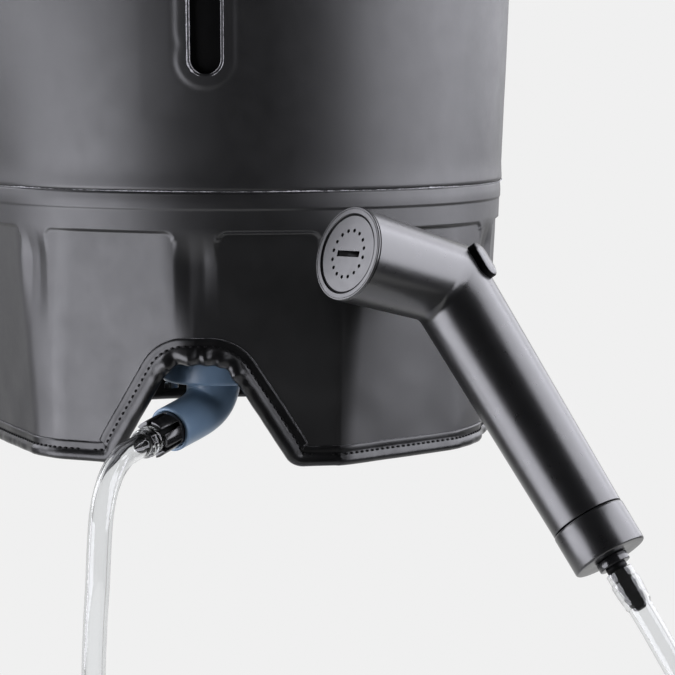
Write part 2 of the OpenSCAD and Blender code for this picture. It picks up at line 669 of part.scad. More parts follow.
module spray_hub() color(black) at_handset() rotate(head_turn) difference() {
    translate([0, 0, hub_low]) cylinder(h = hub_t, r1 = head(hub_low) - shell_wall - 0.2,
        r2 = head(hub_low + hub_t) - shell_wall - 0.2);
    translate([0, 0, hub_low - 1]) cylinder(h = hub_t + 2, r = boss_r + run);
    for (i = [0:7]) rotate([0, 0, i * 45]) translate([10.5, 0, hub_low - 1])
        cylinder(h = hub_t + 2, r = 2, $fn = 24);
}
valve_low = -24;
valve_r = 11;
pocket_r = 4.6;
pocket_x = 5.5;
valve_stem_r = 2;
button_in = elbow_r - shell_wall - 1.2;
module valve_body() color(black) at_handset() difference() {
    union() {
        translate([0, 0, valve_low]) cylinder(h = 4 - valve_low, r = valve_r);
        translate([0, 0, valve_low]) cylinder(h = 4, r1 = grip(valve_low) - shell_wall - 0.2,
            r2 = grip(valve_low + 4) - shell_wall - 0.2);
    }
    at_button() rotate([0, 90, 0]) cylinder(h = valve_r + 2, r = valve_stem_r + run);
    at_button() translate([pocket_x, 0, 0]) rotate([0, 90, 0]) cylinder(h = valve_r, r = pocket_r);
    translate([0, 0, valve_low - 1]) cylinder(h = valve_r, r = water_r);
}
module valve_stem() color(steel) at_handset() at_button() translate([press + 0.6, 0, 0]) rotate([0, 90, 0])
    cylinder(h = button_in - press - 0.6, r = valve_stem_r);
module valve_spring() color(steel) at_handset() at_button() translate([pocket_x + 0.1, 0, 0])
    rotate([0, 90, 0])
    coil_spring(3.2, button_in - pocket_x - 0.2, 4, 0.7);
module flow_button() color(charcoal) at_handset() at_button()
    oblong(button_l, button_w, button_in, elbow_r + button_up);
tube_r = 5.5;
collar_low = -grip_l - collar_l;
collar_gap = 0.4;
wall_end = 3;
module water_tube() color(grey) at_handset() translate([0, 0, collar_low + wall_end + 2]) difference() {
    cylinder(h = valve_low - collar_low - wall_end - 2, r = tube_r);
    translate([0, 0, -1]) cylinder(h = grip_l + collar_l, r = water_r);
}
module end_collar() color(charcoal) at_handset() difference() {
    union() {
        translate([0, 0, collar_low + 1.2]) cylinder(h = collar_l - collar_gap - 1.2, r = grip_r);
        translate([0, 0, collar_low]) cylinder(h = 1.2, r1 = grip_r - 1.2, r2 = grip_r);
        translate([0, 0, -grip_l - collar_gap])
            cylinder(h = 8, r = grip(-grip_l) - shell_wall - 0.2);
    }
    translate([0, 0, collar_low + wall_end]) cylinder(h = collar_l + 20, r = grip_r - 2 * shell_wall - 0.4);
    translate([0, 0, collar_low - 1]) cylinder(h = wall_end + 2, r = tube_r + 0.05);
}
inlet_r = 6.75;
inlet_t = 4;
inlet_neck = 5;
inlet_barb_l = 15;
inlet_from = collar_low - inlet_t - inlet_neck;
module inlet_barb() color(black) at_handset() difference() {
    union() {
        translate([0, 0, collar_low]) cylinder(h = wall_end + 2, r = tube_r);
        translate([0, 0, collar_low - inlet_t]) cylinder(h = inlet_t, r = inlet_r);
        translate([0, 0, inlet_from]) cylinder(h = inlet_neck + 0.1, r = barb_r + 1.2);
        translate([0, 0, inlet_from - inlet_barb_l]) cylinder(h = inlet_barb_l + 0.1, r = barb_r);
        translate([0, 0, inlet_from]) rotate([180, 0, 0]) ridges(1, inlet_barb_l - 0.4, 3, barb_r, 0.5);
    }
    translate([0, 0, collar_low - 60]) cylinder(h = 80, r = barb_r - 1.2);
    translate([0, 0, collar_low + wall_end]) cylinder(h = 10, r = water_r);
}
module inlet_screen() color(steel) at_handset() translate([0, 0, collar_low + wall_end]) difference() {
    cylinder(h = 1, r = water_r - 0.05);
    for (x = [-2:2]) for (y = [-2:2]) translate([x * 1.3, y * 1.3, -1]) cylinder(h = 3, r = 0.4, $fn = 12);
}
module hose_end_handset() color(clear) at_handset() translate([0, 0, inlet_from - inlet_barb_l])
    difference() {
    cylinder(h = inlet_barb_l - 0.4, r = hose_d / 2 + shower_swell);
    translate([0, 0, -1]) cylinder(h = inlet_barb_l + 2, r = barb_r + 0.55);
}

// Dock: a post from the skirt with a seat cut to the hand shower's lower flank, a magnet and a screw
screw_r = 2.5;
magnet_r = 5;
magnet_t = 3;
magnet_deep = 1.5;
dock_up = 3;
module along_dock(x) low() rotate([0, 0, handset_az]) translate([0, -x, handset_h + dock_up])
    rotate([90, 0, 0]) children();
module dock_bolt(r) translate([0, 0, hang_h]) along_dock(stand_r(handset_h) - 2 * stand_wall)
    cylinder(h = 20, r = r);
// The screw's head lies under the magnet, and its thread ends in the stand's wall
seat_x = skirt_at + reach - elbow_r;
magnet_x = seat_x - magnet_t - magnet_deep;
head_r = 4.4;
head_t = 2.2;
screw_head = magnet_x - head_t - 0.2;
screw_from = stand_r(handset_h) - stand_wall + 0.4;
dock_flat = (2 * floor(handset_az / (2 * half_a)) + 1) * half_a;
module handset_dock() color(black) difference() {
    along_dock(skirt_at - 6) cylinder(h = reach, r = dock_r);
    low() difference() {
        cylinder(h = seam_h, r = 2 * base_r);
        outside_flat(dock_flat, 0.1);
    }
    at_handset() handset_form(gap, -grip_l, head_l);
    at_handset() translate([-big / 2, 3 - big, -big / 2]) cube(big);
    along_dock(screw_from) cylinder(h = 40, r = screw_r + 0.02);
    along_dock(screw_head) cylinder(h = 40, r = head_r + 0.05);
    along_dock(magnet_x) cylinder(h = 40, r = magnet_r + 0.05);
}
module dock_magnet() color(steel) along_dock(magnet_x) cylinder(h = magnet_t, r = magnet_r);
module dock_screw() color(steel) {
    along_dock(screw_head) cylinder(h = head_t, r = head_r);
    along_dock(screw_from) cylinder(h = screw_head - screw_from + 0.5, r = screw_r);
}

// Hose: points are across, towards the viewer and up from the base, in a plane turned a little from the front
hose_turn = 9;
coil_c = [70, 130, -240];
function at(p) = [p[0], -p[1], p[2]];
function turned(v) = [v[0] * cos(hose_turn) + v[1] * sin(hose_turn),
    -v[0] * sin(hose_turn) + v[1] * cos(hose_turn), v[2]];
function smooth(p, n) = concat([for (i = [0:len(p) - 2]) for (k = [0:n - 1]) let (
    a = p[max(i - 1, 0)], b = p[i], c = p[i + 1], d = p[min(i + 2, len(p) - 1)], t = k / n)
    0.5 * (2 * b + (c - a) * t + (2 * a - 5 * b + 4 * c - d) * t * t
        + (3 * b - a - 3 * c + d) * t * t * t)],
    [p[len(p) - 1]]);
tank_end = turned(outlet_at + barb_tip * outlet_dir);
tank_way = turned(outlet_dir);
tank_route = [[-51.5, 146, 2], [-54.5, 153.5, -5], [-56.5, 158.5, -15], [-57.5, 160, -28],
    [-58.5, 158, -45], [-60, 153, -64], [-61, 146, -90], [-58, 138, -119], [-49, 131, -150],
    [-33, 128, -180]];
// Unit directions of the handle and of a straight run at the hand shower's end
handle_dir = [sin(handset_lean) * sin(handset_turn),
    -sin(handset_lean) * cos(handset_turn), -cos(handset_lean)];
shower_end = turned(elbow_c + (-inlet_from + inlet_barb_l) * handle_dir);
shower_way = turned(handle_dir);
shower_route = [[184, 205, -96], [194, 211, -128], [193, 203, -160], [182, 185, -192],
    [164, 168, -214]];
// The coil's ends slope inward, so that the hose runs into it without a corner
coil_slope = 30;
coil_first = 180 + coil_slope;
coil_last = 360 * (coil_turns + 1) - coil_slope;
function coil_point(q) = [coil_c[0] + coil_r * cos(q), coil_c[1] + coil_step * (q - coil_first) / 360,
    coil_c[2] + coil_r * sin(q)];
coil_in = coil_point(coil_first) + hose_d * [-sin(coil_slope), 0, cos(coil_slope)];
coil_out = coil_point(coil_last) + hose_d * [sin(coil_slope), 0, cos(coil_slope)];
run_in = hose_d * [-sin(coil_slope), 0, cos(coil_slope)];
run_out = hose_d * [sin(coil_slope), 0, cos(coil_slope)];
tank_path = concat([tank_end], smooth(concat([tank_end + hose_d * tank_way], [for (p = tank_route) at(p)],
    [at(coil_in + 3 * run_in), at(coil_in + run_in)]), 2), [at(coil_in)]);
shower_path = concat([shower_end],
    smooth(concat([shower_end + hose_d * shower_way], [for (p = shower_route) at(p)],
    [at(coil_out + 3 * run_out), at(coil_out + run_out)]), 2), [at(coil_out)]);
coil_rings = (coil_last - coil_first) / 15;
coil_path = concat([at(coil_in)], [for (i = [0:coil_rings]) at(coil_point(coil_first + 15 * i))],
    [at(coil_out)]);
echo(coil_least_gap = least_gap(coil_path, hose_d, 12));
module hose_place() low() rotate([0, 0, hose_turn]) children();
module hose_tank_run() color(clear) hose_place() tube(tank_path, hose_d / 2, 10, [0, -1, 0.01]);
module hose_coil() color(clear) hose_place() tube(coil_path, hose_d / 2, 6, [0, -1, 0.01]);
module hose_handset_run() color(clear) hose_place() tube(shower_path, hose_d / 2, 10, [0, -1, 0.01]);
tie_w = 10;
tie_t = 1.2;
module tie_form(g) union() {
    translate([-coil_step * coil_turns / 2, -hose_d / 2 - g])
        square([coil_step * coil_turns, hose_d + 2 * g]);
    for (s = [-1, 1]) translate([s * coil_step * coil_turns / 2, 0]) circle(hose_d / 2 + g);
}
module hose_tie() color(black) hose_place()
    translate(at([coil_c[0] - tie_w / 2,
        coil_c[1] + coil_step * (270 - coil_first + 180 * coil_turns) / 360,
        coil_c[2] - coil_r + 0.1]))
        rotate([90, 0, 90]) linear_extrude(tie_w) difference() {
            tie_form(0.8 + tie_t);
            tie_form(0.8);
        }

tank_body();
base_stand();
sleeve();
skirt();
skirt_hem();
arch_binding();
shoulder_ring();
pump_cap();
pump_seal();
pump_barrel();
rod_guide();
pump_rod();
piston();
piston_seal();
valve_cage();
check_valve();
pump_handle();
handle_pin();
relief_body();
relief_cap();
relief_stem();
relief_seal();
relief_spring();
relief_knob();
outlet_elbow();
outlet_gasket();
flange_screws();
connector_collar();
hose_barb();
barb_ring();
hose_end_tank();
hose_tank_run();
hose_coil();
hose_tie();
hose_handset_run();
hose_end_handset();
handset_shell();
spray_bezel();
spray_plate();
spray_hub();
valve_body();
valve_stem();
valve_spring();
flow_button();
water_tube();
end_collar();
inlet_barb();
inlet_screen();
handset_dock();
dock_magnet();
dock_screw();
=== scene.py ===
import json
import math

import bmesh
import bpy
import numpy as np
from mathutils import Matrix, Vector, noise


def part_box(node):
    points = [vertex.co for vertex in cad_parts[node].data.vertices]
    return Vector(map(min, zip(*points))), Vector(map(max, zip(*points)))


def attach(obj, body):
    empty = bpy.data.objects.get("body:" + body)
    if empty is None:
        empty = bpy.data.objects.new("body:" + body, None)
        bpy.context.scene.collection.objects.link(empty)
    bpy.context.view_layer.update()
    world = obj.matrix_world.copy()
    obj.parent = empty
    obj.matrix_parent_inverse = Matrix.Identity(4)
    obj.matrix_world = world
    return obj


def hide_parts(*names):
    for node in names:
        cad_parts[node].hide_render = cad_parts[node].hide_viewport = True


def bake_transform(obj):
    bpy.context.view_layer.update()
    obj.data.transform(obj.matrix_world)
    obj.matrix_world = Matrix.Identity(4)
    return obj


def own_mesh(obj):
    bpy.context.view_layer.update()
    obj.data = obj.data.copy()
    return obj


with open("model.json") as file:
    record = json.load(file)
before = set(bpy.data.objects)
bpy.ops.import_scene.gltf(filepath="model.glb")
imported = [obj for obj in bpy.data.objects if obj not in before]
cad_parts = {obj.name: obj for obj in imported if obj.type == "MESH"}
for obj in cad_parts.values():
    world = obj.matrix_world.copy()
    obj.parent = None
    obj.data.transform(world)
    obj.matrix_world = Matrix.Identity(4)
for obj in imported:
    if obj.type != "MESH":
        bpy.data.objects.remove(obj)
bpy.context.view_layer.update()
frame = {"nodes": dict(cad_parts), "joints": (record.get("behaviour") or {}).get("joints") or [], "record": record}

# Sizes are in millimetres and turned into metres by MM; heights are above the tank's base
MM = 0.001
joints = {j["name"]: j for j in frame["joints"]}
nodes = frame["nodes"]
body_of = {node: body for body, held in frame["record"]["behaviour"]["bodies"].items() for node in held}
slot_of = {part["node"]: part["material_slot"] for part in frame["record"]["subparts"]}
BASE_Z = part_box("skirt")[0].z
SEAM_RISE = 1.5
SEAM_UP = (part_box("sleeve")[0].z - BASE_Z) / MM + SEAM_RISE
SLEEVE_UP = (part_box("sleeve")[1].z - BASE_Z) / MM
COVER_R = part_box("skirt")[1].x / MM
SLEEVE_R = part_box("sleeve")[1].x / MM
BASE_R = 116
SEED = Vector((3.7, 1.9, 8.2))


def from_base(x, y, up):
    """Row-frame point of a place given in millimetres from the tank's axis and base."""
    return Vector((x * MM, y * MM, BASE_Z + up * MM))


def add_object(name, data):
    obj = bpy.data.objects.new(name, data)
    bpy.context.scene.collection.objects.link(obj)
    return obj


# Camera: its distance, height and swing from the front, then its turn and its dip

CAMERA_FAR = 1130
CAMERA_UP = 164
CAMERA_SWING = math.radians(9)
CAMERA_AIM = math.radians(6.7023)
CAMERA_DIP = math.radians(6.3053)
LENS = 129.6
SENSOR_W = 36
CLIP_M = (0.01, 100)


def make_camera():
    data = bpy.data.cameras.new("camera")
    data.lens = LENS
    data.sensor_width = SENSOR_W
    data.clip_start, data.clip_end = CLIP_M
    camera = add_object("camera", data)
    camera.location = from_base(
        CAMERA_FAR * math.sin(CAMERA_SWING), -CAMERA_FAR * math.cos(CAMERA_SWING), CAMERA_UP)
    camera.rotation_euler = (math.pi / 2 - CAMERA_DIP, 0, CAMERA_AIM)
    bpy.context.scene.camera = camera


make_camera()

# Mesh tools, with the limits that they work to

WELD_M = 2e-6
ON_AXIS = 1e-6
LEAST_CUT = 1e-4
ROUND_SHARE = 0.45
ROUND_STEPS = 3
OFF_PATH = (0.1, 0.2, 1.0)
FLAT_ANGLE = math.radians(0.6)
SHARP_ANGLE = math.radians(28)
SHADE_ANGLE = math.radians(35)


def mix(a, b, t):
    """Value at share t of the way from a to b."""
    return a + (b - a) * t


def step(x, a, b):
    """Smooth rise from 0 at a to 1 at b."""
    t = np.clip((x - a) / (b - a), 0, 1)
    return t * t * (3 - 2 * t)


def circle(count):
    """Angles of points spaced evenly round a circle."""
    return np.linspace(0, 2 * math.pi, count, endpoint=False)


def bent(a, b, c, t):
    """Point at share t of the curve that leaves a towards b and comes to c."""
    return a * (1 - t) ** 2 + b * 2 * t * (1 - t) + c * t * t


def run_lengths(points):
    """Length of a line of points up to each of them."""
    return np.concatenate([[0], np.cumsum(np.linalg.norm(np.diff(points, axis=0), axis=1))])


def mesh_object(name, verts, faces, material):
    """Smooth object of points and faces in metres, with its faces turned outwards."""
    mesh = bpy.data.meshes.new(name)
    mesh.from_pydata([tuple(v) for v in verts], [], [tuple(f) for f in faces])
    mesh.materials.append(material)
    mesh.shade_smooth()
    obj = add_object(name, mesh)
    bm = bmesh.new()
    bm.from_mesh(mesh)
    bmesh.ops.recalc_face_normals(bm, faces=bm.faces)
    bm.to_mesh(mesh)
    bm.free()
    return obj


def grid_faces(rows, cols, wrap_rows=False, wrap_cols=False, first=0):
    """Quads of a grid of points that lie row by row."""
    faces = []
    for r in range(rows if wrap_rows else rows - 1):
        for c in range(cols if wrap_cols else cols - 1):
            a, b = r * cols, (r + 1) % rows * cols
            n = (c + 1) % cols
            faces.append((first + a + c, first + a + n, first + b + n, first + b + c))
    return faces


def closed_shell(outer, inner):
    """Points and faces of a closed shell between two grids that run round the axis."""
    rows, cols = outer.shape[:2]
    count = rows * cols
    verts = np.concatenate([outer.reshape(-1, 3), inner.reshape(-1, 3)])
    faces = grid_faces(rows, cols, wrap_cols=True) + grid_faces(rows, cols, wrap_cols=True, first=count)
    for edge in (0, (rows - 1) * cols):
        for c in range(cols):
            n = (c + 1) % cols
            faces.append((edge + c, edge + n, count + edge + n, count + edge + c))
    return verts, faces


def strip(sections):
    """Points and faces of a closed strip: each row of the array is one closed cross-section."""
    rows, cols = sections.shape[:2]
    faces = grid_faces(rows, cols, wrap_cols=True)
    faces.append(tuple(range(cols)))
    faces.append(tuple(reversed(range((rows - 1) * cols, rows * cols))))
    return sections.reshape(-1, 3), faces


def closed_loop(sections):
    """Points and faces of a strip whose last cross-section joins its first."""
    return sections.reshape(-1, 3), grid_faces(*sections.shape[:2], wrap_rows=True, wrap_cols=True)


def rounded(points, radius):
    """Closed outline whose corners are rounded by a radius, or less where a side is short."""
    out = []
    for i, p in enumerate(points):
        p, a, b = Vector(p), Vector(points[i - 1]), Vector(points[(i + 1) % len(points)])
        to_a, to_b = a - p, b - p
        cut = min(radius, ROUND_SHARE * to_a.length, ROUND_SHARE * to_b.length)
        if p.x < ON_AXIS or cut < LEAST_CUT:
            out.append(tuple(p))
            continue
        start, end = p + to_a.normalized() * cut, p + to_b.normalized() * cut
        out += [tuple(bent(start, p, end, k / ROUND_STEPS)) for k in range(ROUND_STEPS + 1)]
    return out


def lathe(name, outline, place, material, sides):
    """Solid turned from a closed outline of (radius, height) points in millimetres about place's Z axis."""
    verts, faces, index = [], [], []
    for r, z in outline:
        if r < ON_AXIS:
            index.append([len(verts)] * sides)
            verts.append(place @ Vector((0, 0, z * MM)))
        else:
            index.append(range(len(verts), len(verts) + sides))
            for k in range(sides):
                q = 2 * math.pi * k / sides
                verts.append(place @ Vector((r * math.cos(q) * MM, r * math.sin(q) * MM, z * MM)))
    for i in range(len(outline)):
        following = (i + 1) % len(outline)
        if outline[i][0] < ON_AXIS and outline[following][0] < ON_AXIS:
            continue
        a, b = index[i], index[following]
        for k in range(sides):
            n = (k + 1) % sides
            quad = [a[k], a[n], b[n], b[k]]
            faces.append([v for j, v in enumerate(quad) if v not in quad[:j]])
    return mesh_object(name, verts, faces, material)


def path_frames(points):
    """Two directions square to the path at each point, carried along without turning."""
    ways = np.gradient(points, axis=0)
    ways /= np.linalg.norm(ways, axis=1)[:, None]
    side = np.cross(ways[0], OFF_PATH)
    sides = []
    for w in ways:
        side = side - w * np.dot(side, w)
        side /= np.linalg.norm(side)
        sides.append(side)
    sides = np.array(sides)
    return sides, np.cross(ways, sides)


def swept_rings(points, radii, sides):
    """Rings of a tube along points, as an array of rows of points."""
    u, v = path_frames(points)
    q = circle(sides)
    ring = np.cos(q)[None, :, None] * u[:, None, :] + np.sin(q)[None, :, None] * v[:, None, :]
    return points[:, None, :] + np.asarray(radii)[:, None, None] * ring


def put(obj, body, slot, *replaced):
    """The piece rides on a body and stands for CAD nodes, which it hides."""
    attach(obj, body)
    if replaced:
        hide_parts(*replaced)
    return obj


def softened(node, width):
    """Copy of a CAD node that stands for it, with its sharp edges rounded unless the width is 0."""
    mesh = nodes[node].data.copy()
    obj = add_object(node + "_soft", mesh)
    bm = bmesh.new()
    bm.from_mesh(mesh)
    bmesh.ops.remove_doubles(bm, verts=bm.verts, dist=WELD_M)
    bmesh.ops.dissolve_limit(bm, angle_limit=FLAT_ANGLE, verts=bm.verts, edges=bm.edges)
    bmesh.ops.recalc_face_normals(bm, faces=bm.faces)
    if width:
        sharp = [e for e in bm.edges if len(e.link_faces) == 2 and e.calc_face_angle(0) > SHARP_ANGLE]
        bmesh.ops.bevel(bm, geom=sharp, offset=width * MM, segments=2, profile=0.5, affect="EDGES",
                        clamp_overlap=True)
    bm.to_mesh(mesh)
    bm.free()
    mesh.shade_smooth()
    mesh.set_sharp_from_angle(angle=SHADE_ANGLE)
    return put(obj, body_of[node], slot_of[node], node)


# Materials

NOISE_ROUGH = 0.6
NOISE_MIDDLE = (0.3, 0.7)


def new_node(tree, kind, **inputs):
    """Shader node whose inputs are set to values, or linked where a value is another node's socket."""
    node = tree.nodes.new("ShaderNode" + kind)
    for name, value in inputs.items():
        socket = node.inputs[name.replace("_", " ")]
        if isinstance(value, bpy.types.NodeSocket):
            tree.links.new(value, socket)
        else:
            socket.default_value = value
    return node


class Finish:
    """Builds one procedural material on a Principled shader, in the part's own coordinates."""

    def __init__(self, name):
        self.material = bpy.data.materials.new(name)
        self.material.use_nodes = True
        self.tree = self.material.node_tree
        self.shader = self.tree.nodes["Principled BSDF"]
        self.place = self.tree.nodes.new("ShaderNodeTexCoord").outputs["Object"]

    def set(self, **sockets):
        for name, value in sockets.items():
            self.shader.inputs[name.replace("_", " ")].default_value = value
        return self

    def noise(self, size, detail, stretch=None):
        """Noise whose blotches are about this many millimetres across."""
        source, scale = self.place, 1 / (size * MM)
        if stretch:
            source = new_node(self.tree, "Mapping", Vector=source, Scale=stretch).outputs["Vector"]
        node = new_node(self.tree, "TexNoise", Vector=source, Scale=scale, Detail=detail,
                        Roughness=NOISE_ROUGH)
        return node.outputs["Fac"]

    def span(self, value, low, high):
        """The value's middle range stretched to run from low to high."""
        first, last = NOISE_MIDDLE
        node = new_node(self.tree, "MapRange", Value=value, From_Min=first, From_Max=last, To_Min=low,
                        To_Max=high)
        return node.outputs["Result"]

    def colour(self, value, low, high):
        node = self.tree.nodes.new("ShaderNodeMix")
        node.data_type = "RGBA"
        self.tree.links.new(self.span(value, 0, 1), node.inputs["Factor"])
        node.inputs["A"].default_value = (*low, 1)
        node.inputs["B"].default_value = (*high, 1)
        self.tree.links.new(node.outputs["Result"], self.shader.inputs["Base Color"])

    def rough(self, value, low, high):
        self.tree.links.new(self.span(value, low, high), self.shader.inputs["Roughness"])

    def bump(self, *layers):
        """Relief from (value, height in millimetres) layers."""
        normal = None
        for value, height in layers:
            under = {"Normal": normal} if normal else {}
            node = new_node(self.tree, "Bump", Strength=1, Distance=height * MM, Height=value, **under)
            normal = node.outputs["Normal"]
        self.tree.links.new(normal, self.shader.inputs["Normal"])


def grey(level, blue=1.03):
    return (level, level, level * blue)


def grained(name, tint, relief, rough=None, **sockets):
    """Noise material: tint and rough hold size, detail, low, high; reliefs size, detail, height, stretch."""
    f = Finish(name)
    f.colour(f.noise(*tint[:2]), *tint[2:])
    if rough:
        f.rough(f.noise(*rough[:2]), *rough[2:])
    f.bump(*[(f.noise(size, detail, *stretch), height) for size, detail, height, *stretch in relief])
    return f.set(**sockets).material


def satin_plastic(name, low, high, rough_low, rough_high, grain=0.006, gloss=0.55):
    return grained(name, (14, 4, low, high), [(0.3, 2, grain)], (4, 4, rough_low, rough_high),
                   Specular_IOR_Level=gloss)


def satin_steel():
    f = Finish("satin_steel")
    brushed = f.noise(0.6, detail=3, stretch=(1, 1, 0.05))
    f.colour(brushed, grey(0.5, 1.02), grey(0.62, 1.02))
    f.rough(brushed, 0.22, 0.36)
    f.bump((brushed, 0.006))
    return f.set(Metallic=1.0).material


def clear_plastic():
    f = Finish("clear_plastic")
    f.rough(f.noise(20, detail=3), 0.02, 0.06)
    f.bump((f.noise(18, detail=2), 0.03))
    haze = new_node(f.tree, "VolumeAbsorption", Color=(0.6, 0.62, 0.63, 1), Density=90)
    f.tree.links.new(haze.outputs["Volume"], f.tree.nodes["Material Output"].inputs["Volume"])
    return f.set(Base_Color=(0.98, 0.985, 0.99, 1), Transmission_Weight=1.0, IOR=1.45).material


CLOTH = grained("coated_cloth", (30, 4, grey(0.004), grey(0.0055)), [(0.45, 2, 0.012), (2.5, 3, 0.02)],
                (9, 4, 0.43, 0.48), Specular_IOR_Level=0.68)
BINDING = grained("binding_cloth", (12, 4, grey(0.004), grey(0.007)), [(0.5, 2, 0.012), (3, 3, 0.05)],
                  (5, 4, 0.28, 0.36), Specular_IOR_Level=0.4)
EDGE = grained("cut_edge", (0.9, 4, grey(0.16), grey(0.62)), [(0.35, 3, 0.1)], Roughness=0.9)
TRIM = grained("trimmed_edge", (1.2, 4, grey(0.02), grey(0.2)), [(0.35, 3, 0.08)], Roughness=0.85)
THREAD = grained("thread", (1.5, 3, grey(0.002), grey(0.004)), [(0.25, 2, 0.03)], Roughness=0.7,
                 Specular_IOR_Level=0.2)
CHARCOAL = satin_plastic("charcoal_plastic", grey(0.006), grey(0.009), 0.27, 0.32, gloss=0.85)
BLUE = satin_plastic("blue_plastic", (0.135, 0.21, 0.3), (0.155, 0.235, 0.33), 0.3, 0.38, gloss=0.4)
GREY = satin_plastic("grey_plastic", grey(0.3), grey(0.36), 0.35, 0.45)
GLOSS = satin_plastic("gloss_black", grey(0.008), grey(0.013), 0.12, 0.2, 0.003)
MATT = grained("matt_black", (14, 4, grey(0.0008), grey(0.0016)), [(0.4, 2, 0.01)], (4, 4, 0.5, 0.6),
               Specular_IOR_Level=0.12)
RUBBER = grained("seal_rubber", (5, 3, grey(0.012), grey(0.024)), [(0.6, 3, 0.02)], (2, 3, 0.6, 0.8))
STEEL = satin_steel()
CLEAR = clear_plastic()
STRAP = grained("woven_strap", (2, 3, grey(0.01), grey(0.022)), [(0.8, 2, 0.15, (1, 1, 0.4))], Roughness=0.85)
SLOT_FINISH = {
    "cover_cloth": CLOTH, "tank_plastic": MATT, "charcoal_plastic": CHARCOAL, "blue_plastic": BLUE,
    "grey_plastic": GREY, "black_fitting": GLOSS, "seal_rubber": RUBBER, "steel": STEEL, "clear_hose": CLEAR,
    "tie_strap": STRAP,
}
for node, slot in slot_of.items():
    mesh = nodes[node].data
    mesh.materials.clear()
    mesh.materials.append(SLOT_FINISH[slot])

# Hose: the route's points are across, towards the viewer and up, in a plane turned a little from the front

HOSE_D = 10
HOSE_BORE = 6.8
HOSE_SIDES = 32
HOSE_TURN = math.radians(9)
OUTLET = Vector(joints["collar_turn"]["pos_m"])
OUTLET_WAY = Vector(joints["collar_turn"]["axis"])
ELBOW = Vector(joints["spray_turn"]["pos_m"])
HEAD_WAY = Vector(joints["spray_turn"]["axis"])
LIFT_WAY = Vector(joints["handset_lift"]["axis"])
PRESS_WAY = Vector(joints["button_press"]["axis"])
ELBOW_ANGLE = math.radians(110)
HANDLE_WAY = HEAD_WAY * math.cos(ELBOW_ANGLE) - HEAD_WAY.cross(LIFT_WAY) * math.sin(ELBOW_ANGLE)
# The hose's ends on their barbs, along the outlet's and the handle's axis
HOSE_FROM = 13.4
BARB_TIP = 21.4
SHOWER_FROM = 141.4
SHOWER_TIP = 159
BARB_R = 3.6
BARB_GAP = 0.5
BARB_RIDGES = 3
# Swelling of the ends: spans are shares of an end's length, and sizes are shares of SWELL
SWELL = 1.3
SHRINK_SPAN = (0.72, 1)
RIDGE_DIP = 0.28
LIP_FIRST = 0.55
LIP_RISE = 0.35
RISE_SPAN = (0.24, 0.28)
LIP_FALL = 0.4
FALL_SPAN = (0.34, 0.86)
CLOSE_SPAN = (0.86, 0.92)
TANK_ROUTE = [(-51.5, 146, 2), (-54.5, 153.5, -5), (-56.5, 158.5, -15), (-57.5, 160, -28), (-58.5, 158, -45),
              (-60, 153, -64), (-61, 146, -90), (-58, 138, -119), (-49, 131, -150), (-33, 128, -180)]
SHOWER_ROUTE = [(184, 205, -96), (194, 211, -128), (193, 203, -160), (182, 185, -192), (164, 168, -214)]
END_STEPS = 30
PATH_STEPS = 6
COIL_AT = (70, 130, -240)
COIL_R = 60
COIL_STEP = 12.5
COIL_TURNS = 2
COIL_SLOPE = math.radians(30)
COIL_RING = math.radians(7.5)
COIL_LEAD = (4, 2, 1)
COIL_FIRST = math.pi + COIL_SLOPE
COIL_LAST = 2 * math.pi * (COIL_TURNS + 1) - COIL_SLOPE


def hose_point(across, toward, up):
    c, s = math.cos(HOSE_TURN), math.sin(HOSE_TURN)
    return np.array(from_base(across * c + toward * s, across * s - toward * c, up))


def coil_point(q):
    return (COIL_AT[0] + COIL_R * math.cos(q), COIL_AT[1] + COIL_STEP * (q - COIL_FIRST) / (2 * math.pi),
            COIL_AT[2] + COIL_R * math.sin(q))


def smooth_path(points, steps):
    """Smooth curve through points, with the same rule at every stretch."""
    p = [np.array(q, float) for q in points]
    out = []
    for i in range(len(p) - 1):
        a, b, c, d = p[max(i - 1, 0)], p[i], p[i + 1], p[min(i + 2, len(p) - 1)]
        for k in range(steps):
            t = k / steps
            out.append(0.5 * (2 * b + (c - a) * t + (2 * a - 5 * b + 4 * c - d) * t ** 2
                              + (3 * b - a - 3 * c + d) * t ** 3))
    return out + [p[-1]]


def hose_side(at, way, first, tip, route, coil_end, side):
    """Centreline of one side of the hose: over its barb, along its route and straight to the coil's end."""
    on_barb = np.linspace(first, tip, END_STEPS, endpoint=False)
    end = np.array(at + way * tip * MM)
    x, y, z = coil_end
    lean_x, lean_z = side * HOSE_D * math.sin(COIL_SLOPE), HOSE_D * math.cos(COIL_SLOPE)
    *leads, last = (hose_point(x + lean_x * k, y, z + lean_z * k) for k in COIL_LEAD)
    free = [end + np.array(way) * HOSE_D * MM, *(hose_point(*p) for p in route), *leads]
    return [np.array(at + way * a * MM) for a in on_barb] + [end] + smooth_path(free, PATH_STEPS) + [last]


def hose_route():
    """Centreline from the outlet's barb, down, round the coil and up to the hand shower."""
    steps = int((COIL_LAST - COIL_FIRST) / COIL_RING)
    angles = [COIL_FIRST + (COIL_LAST - COIL_FIRST) * k / steps for k in range(steps + 1)]
    coil = [coil_point(q) for q in angles]
    down = hose_side(OUTLET, OUTLET_WAY, HOSE_FROM, BARB_TIP, TANK_ROUTE, coil[0], -1)
    rise = hose_side(ELBOW, HANDLE_WAY, SHOWER_FROM, SHOWER_TIP, SHOWER_ROUTE, coil[-1], 1)
    return np.array(down + [hose_point(*p) for p in coil] + rise[::-1])


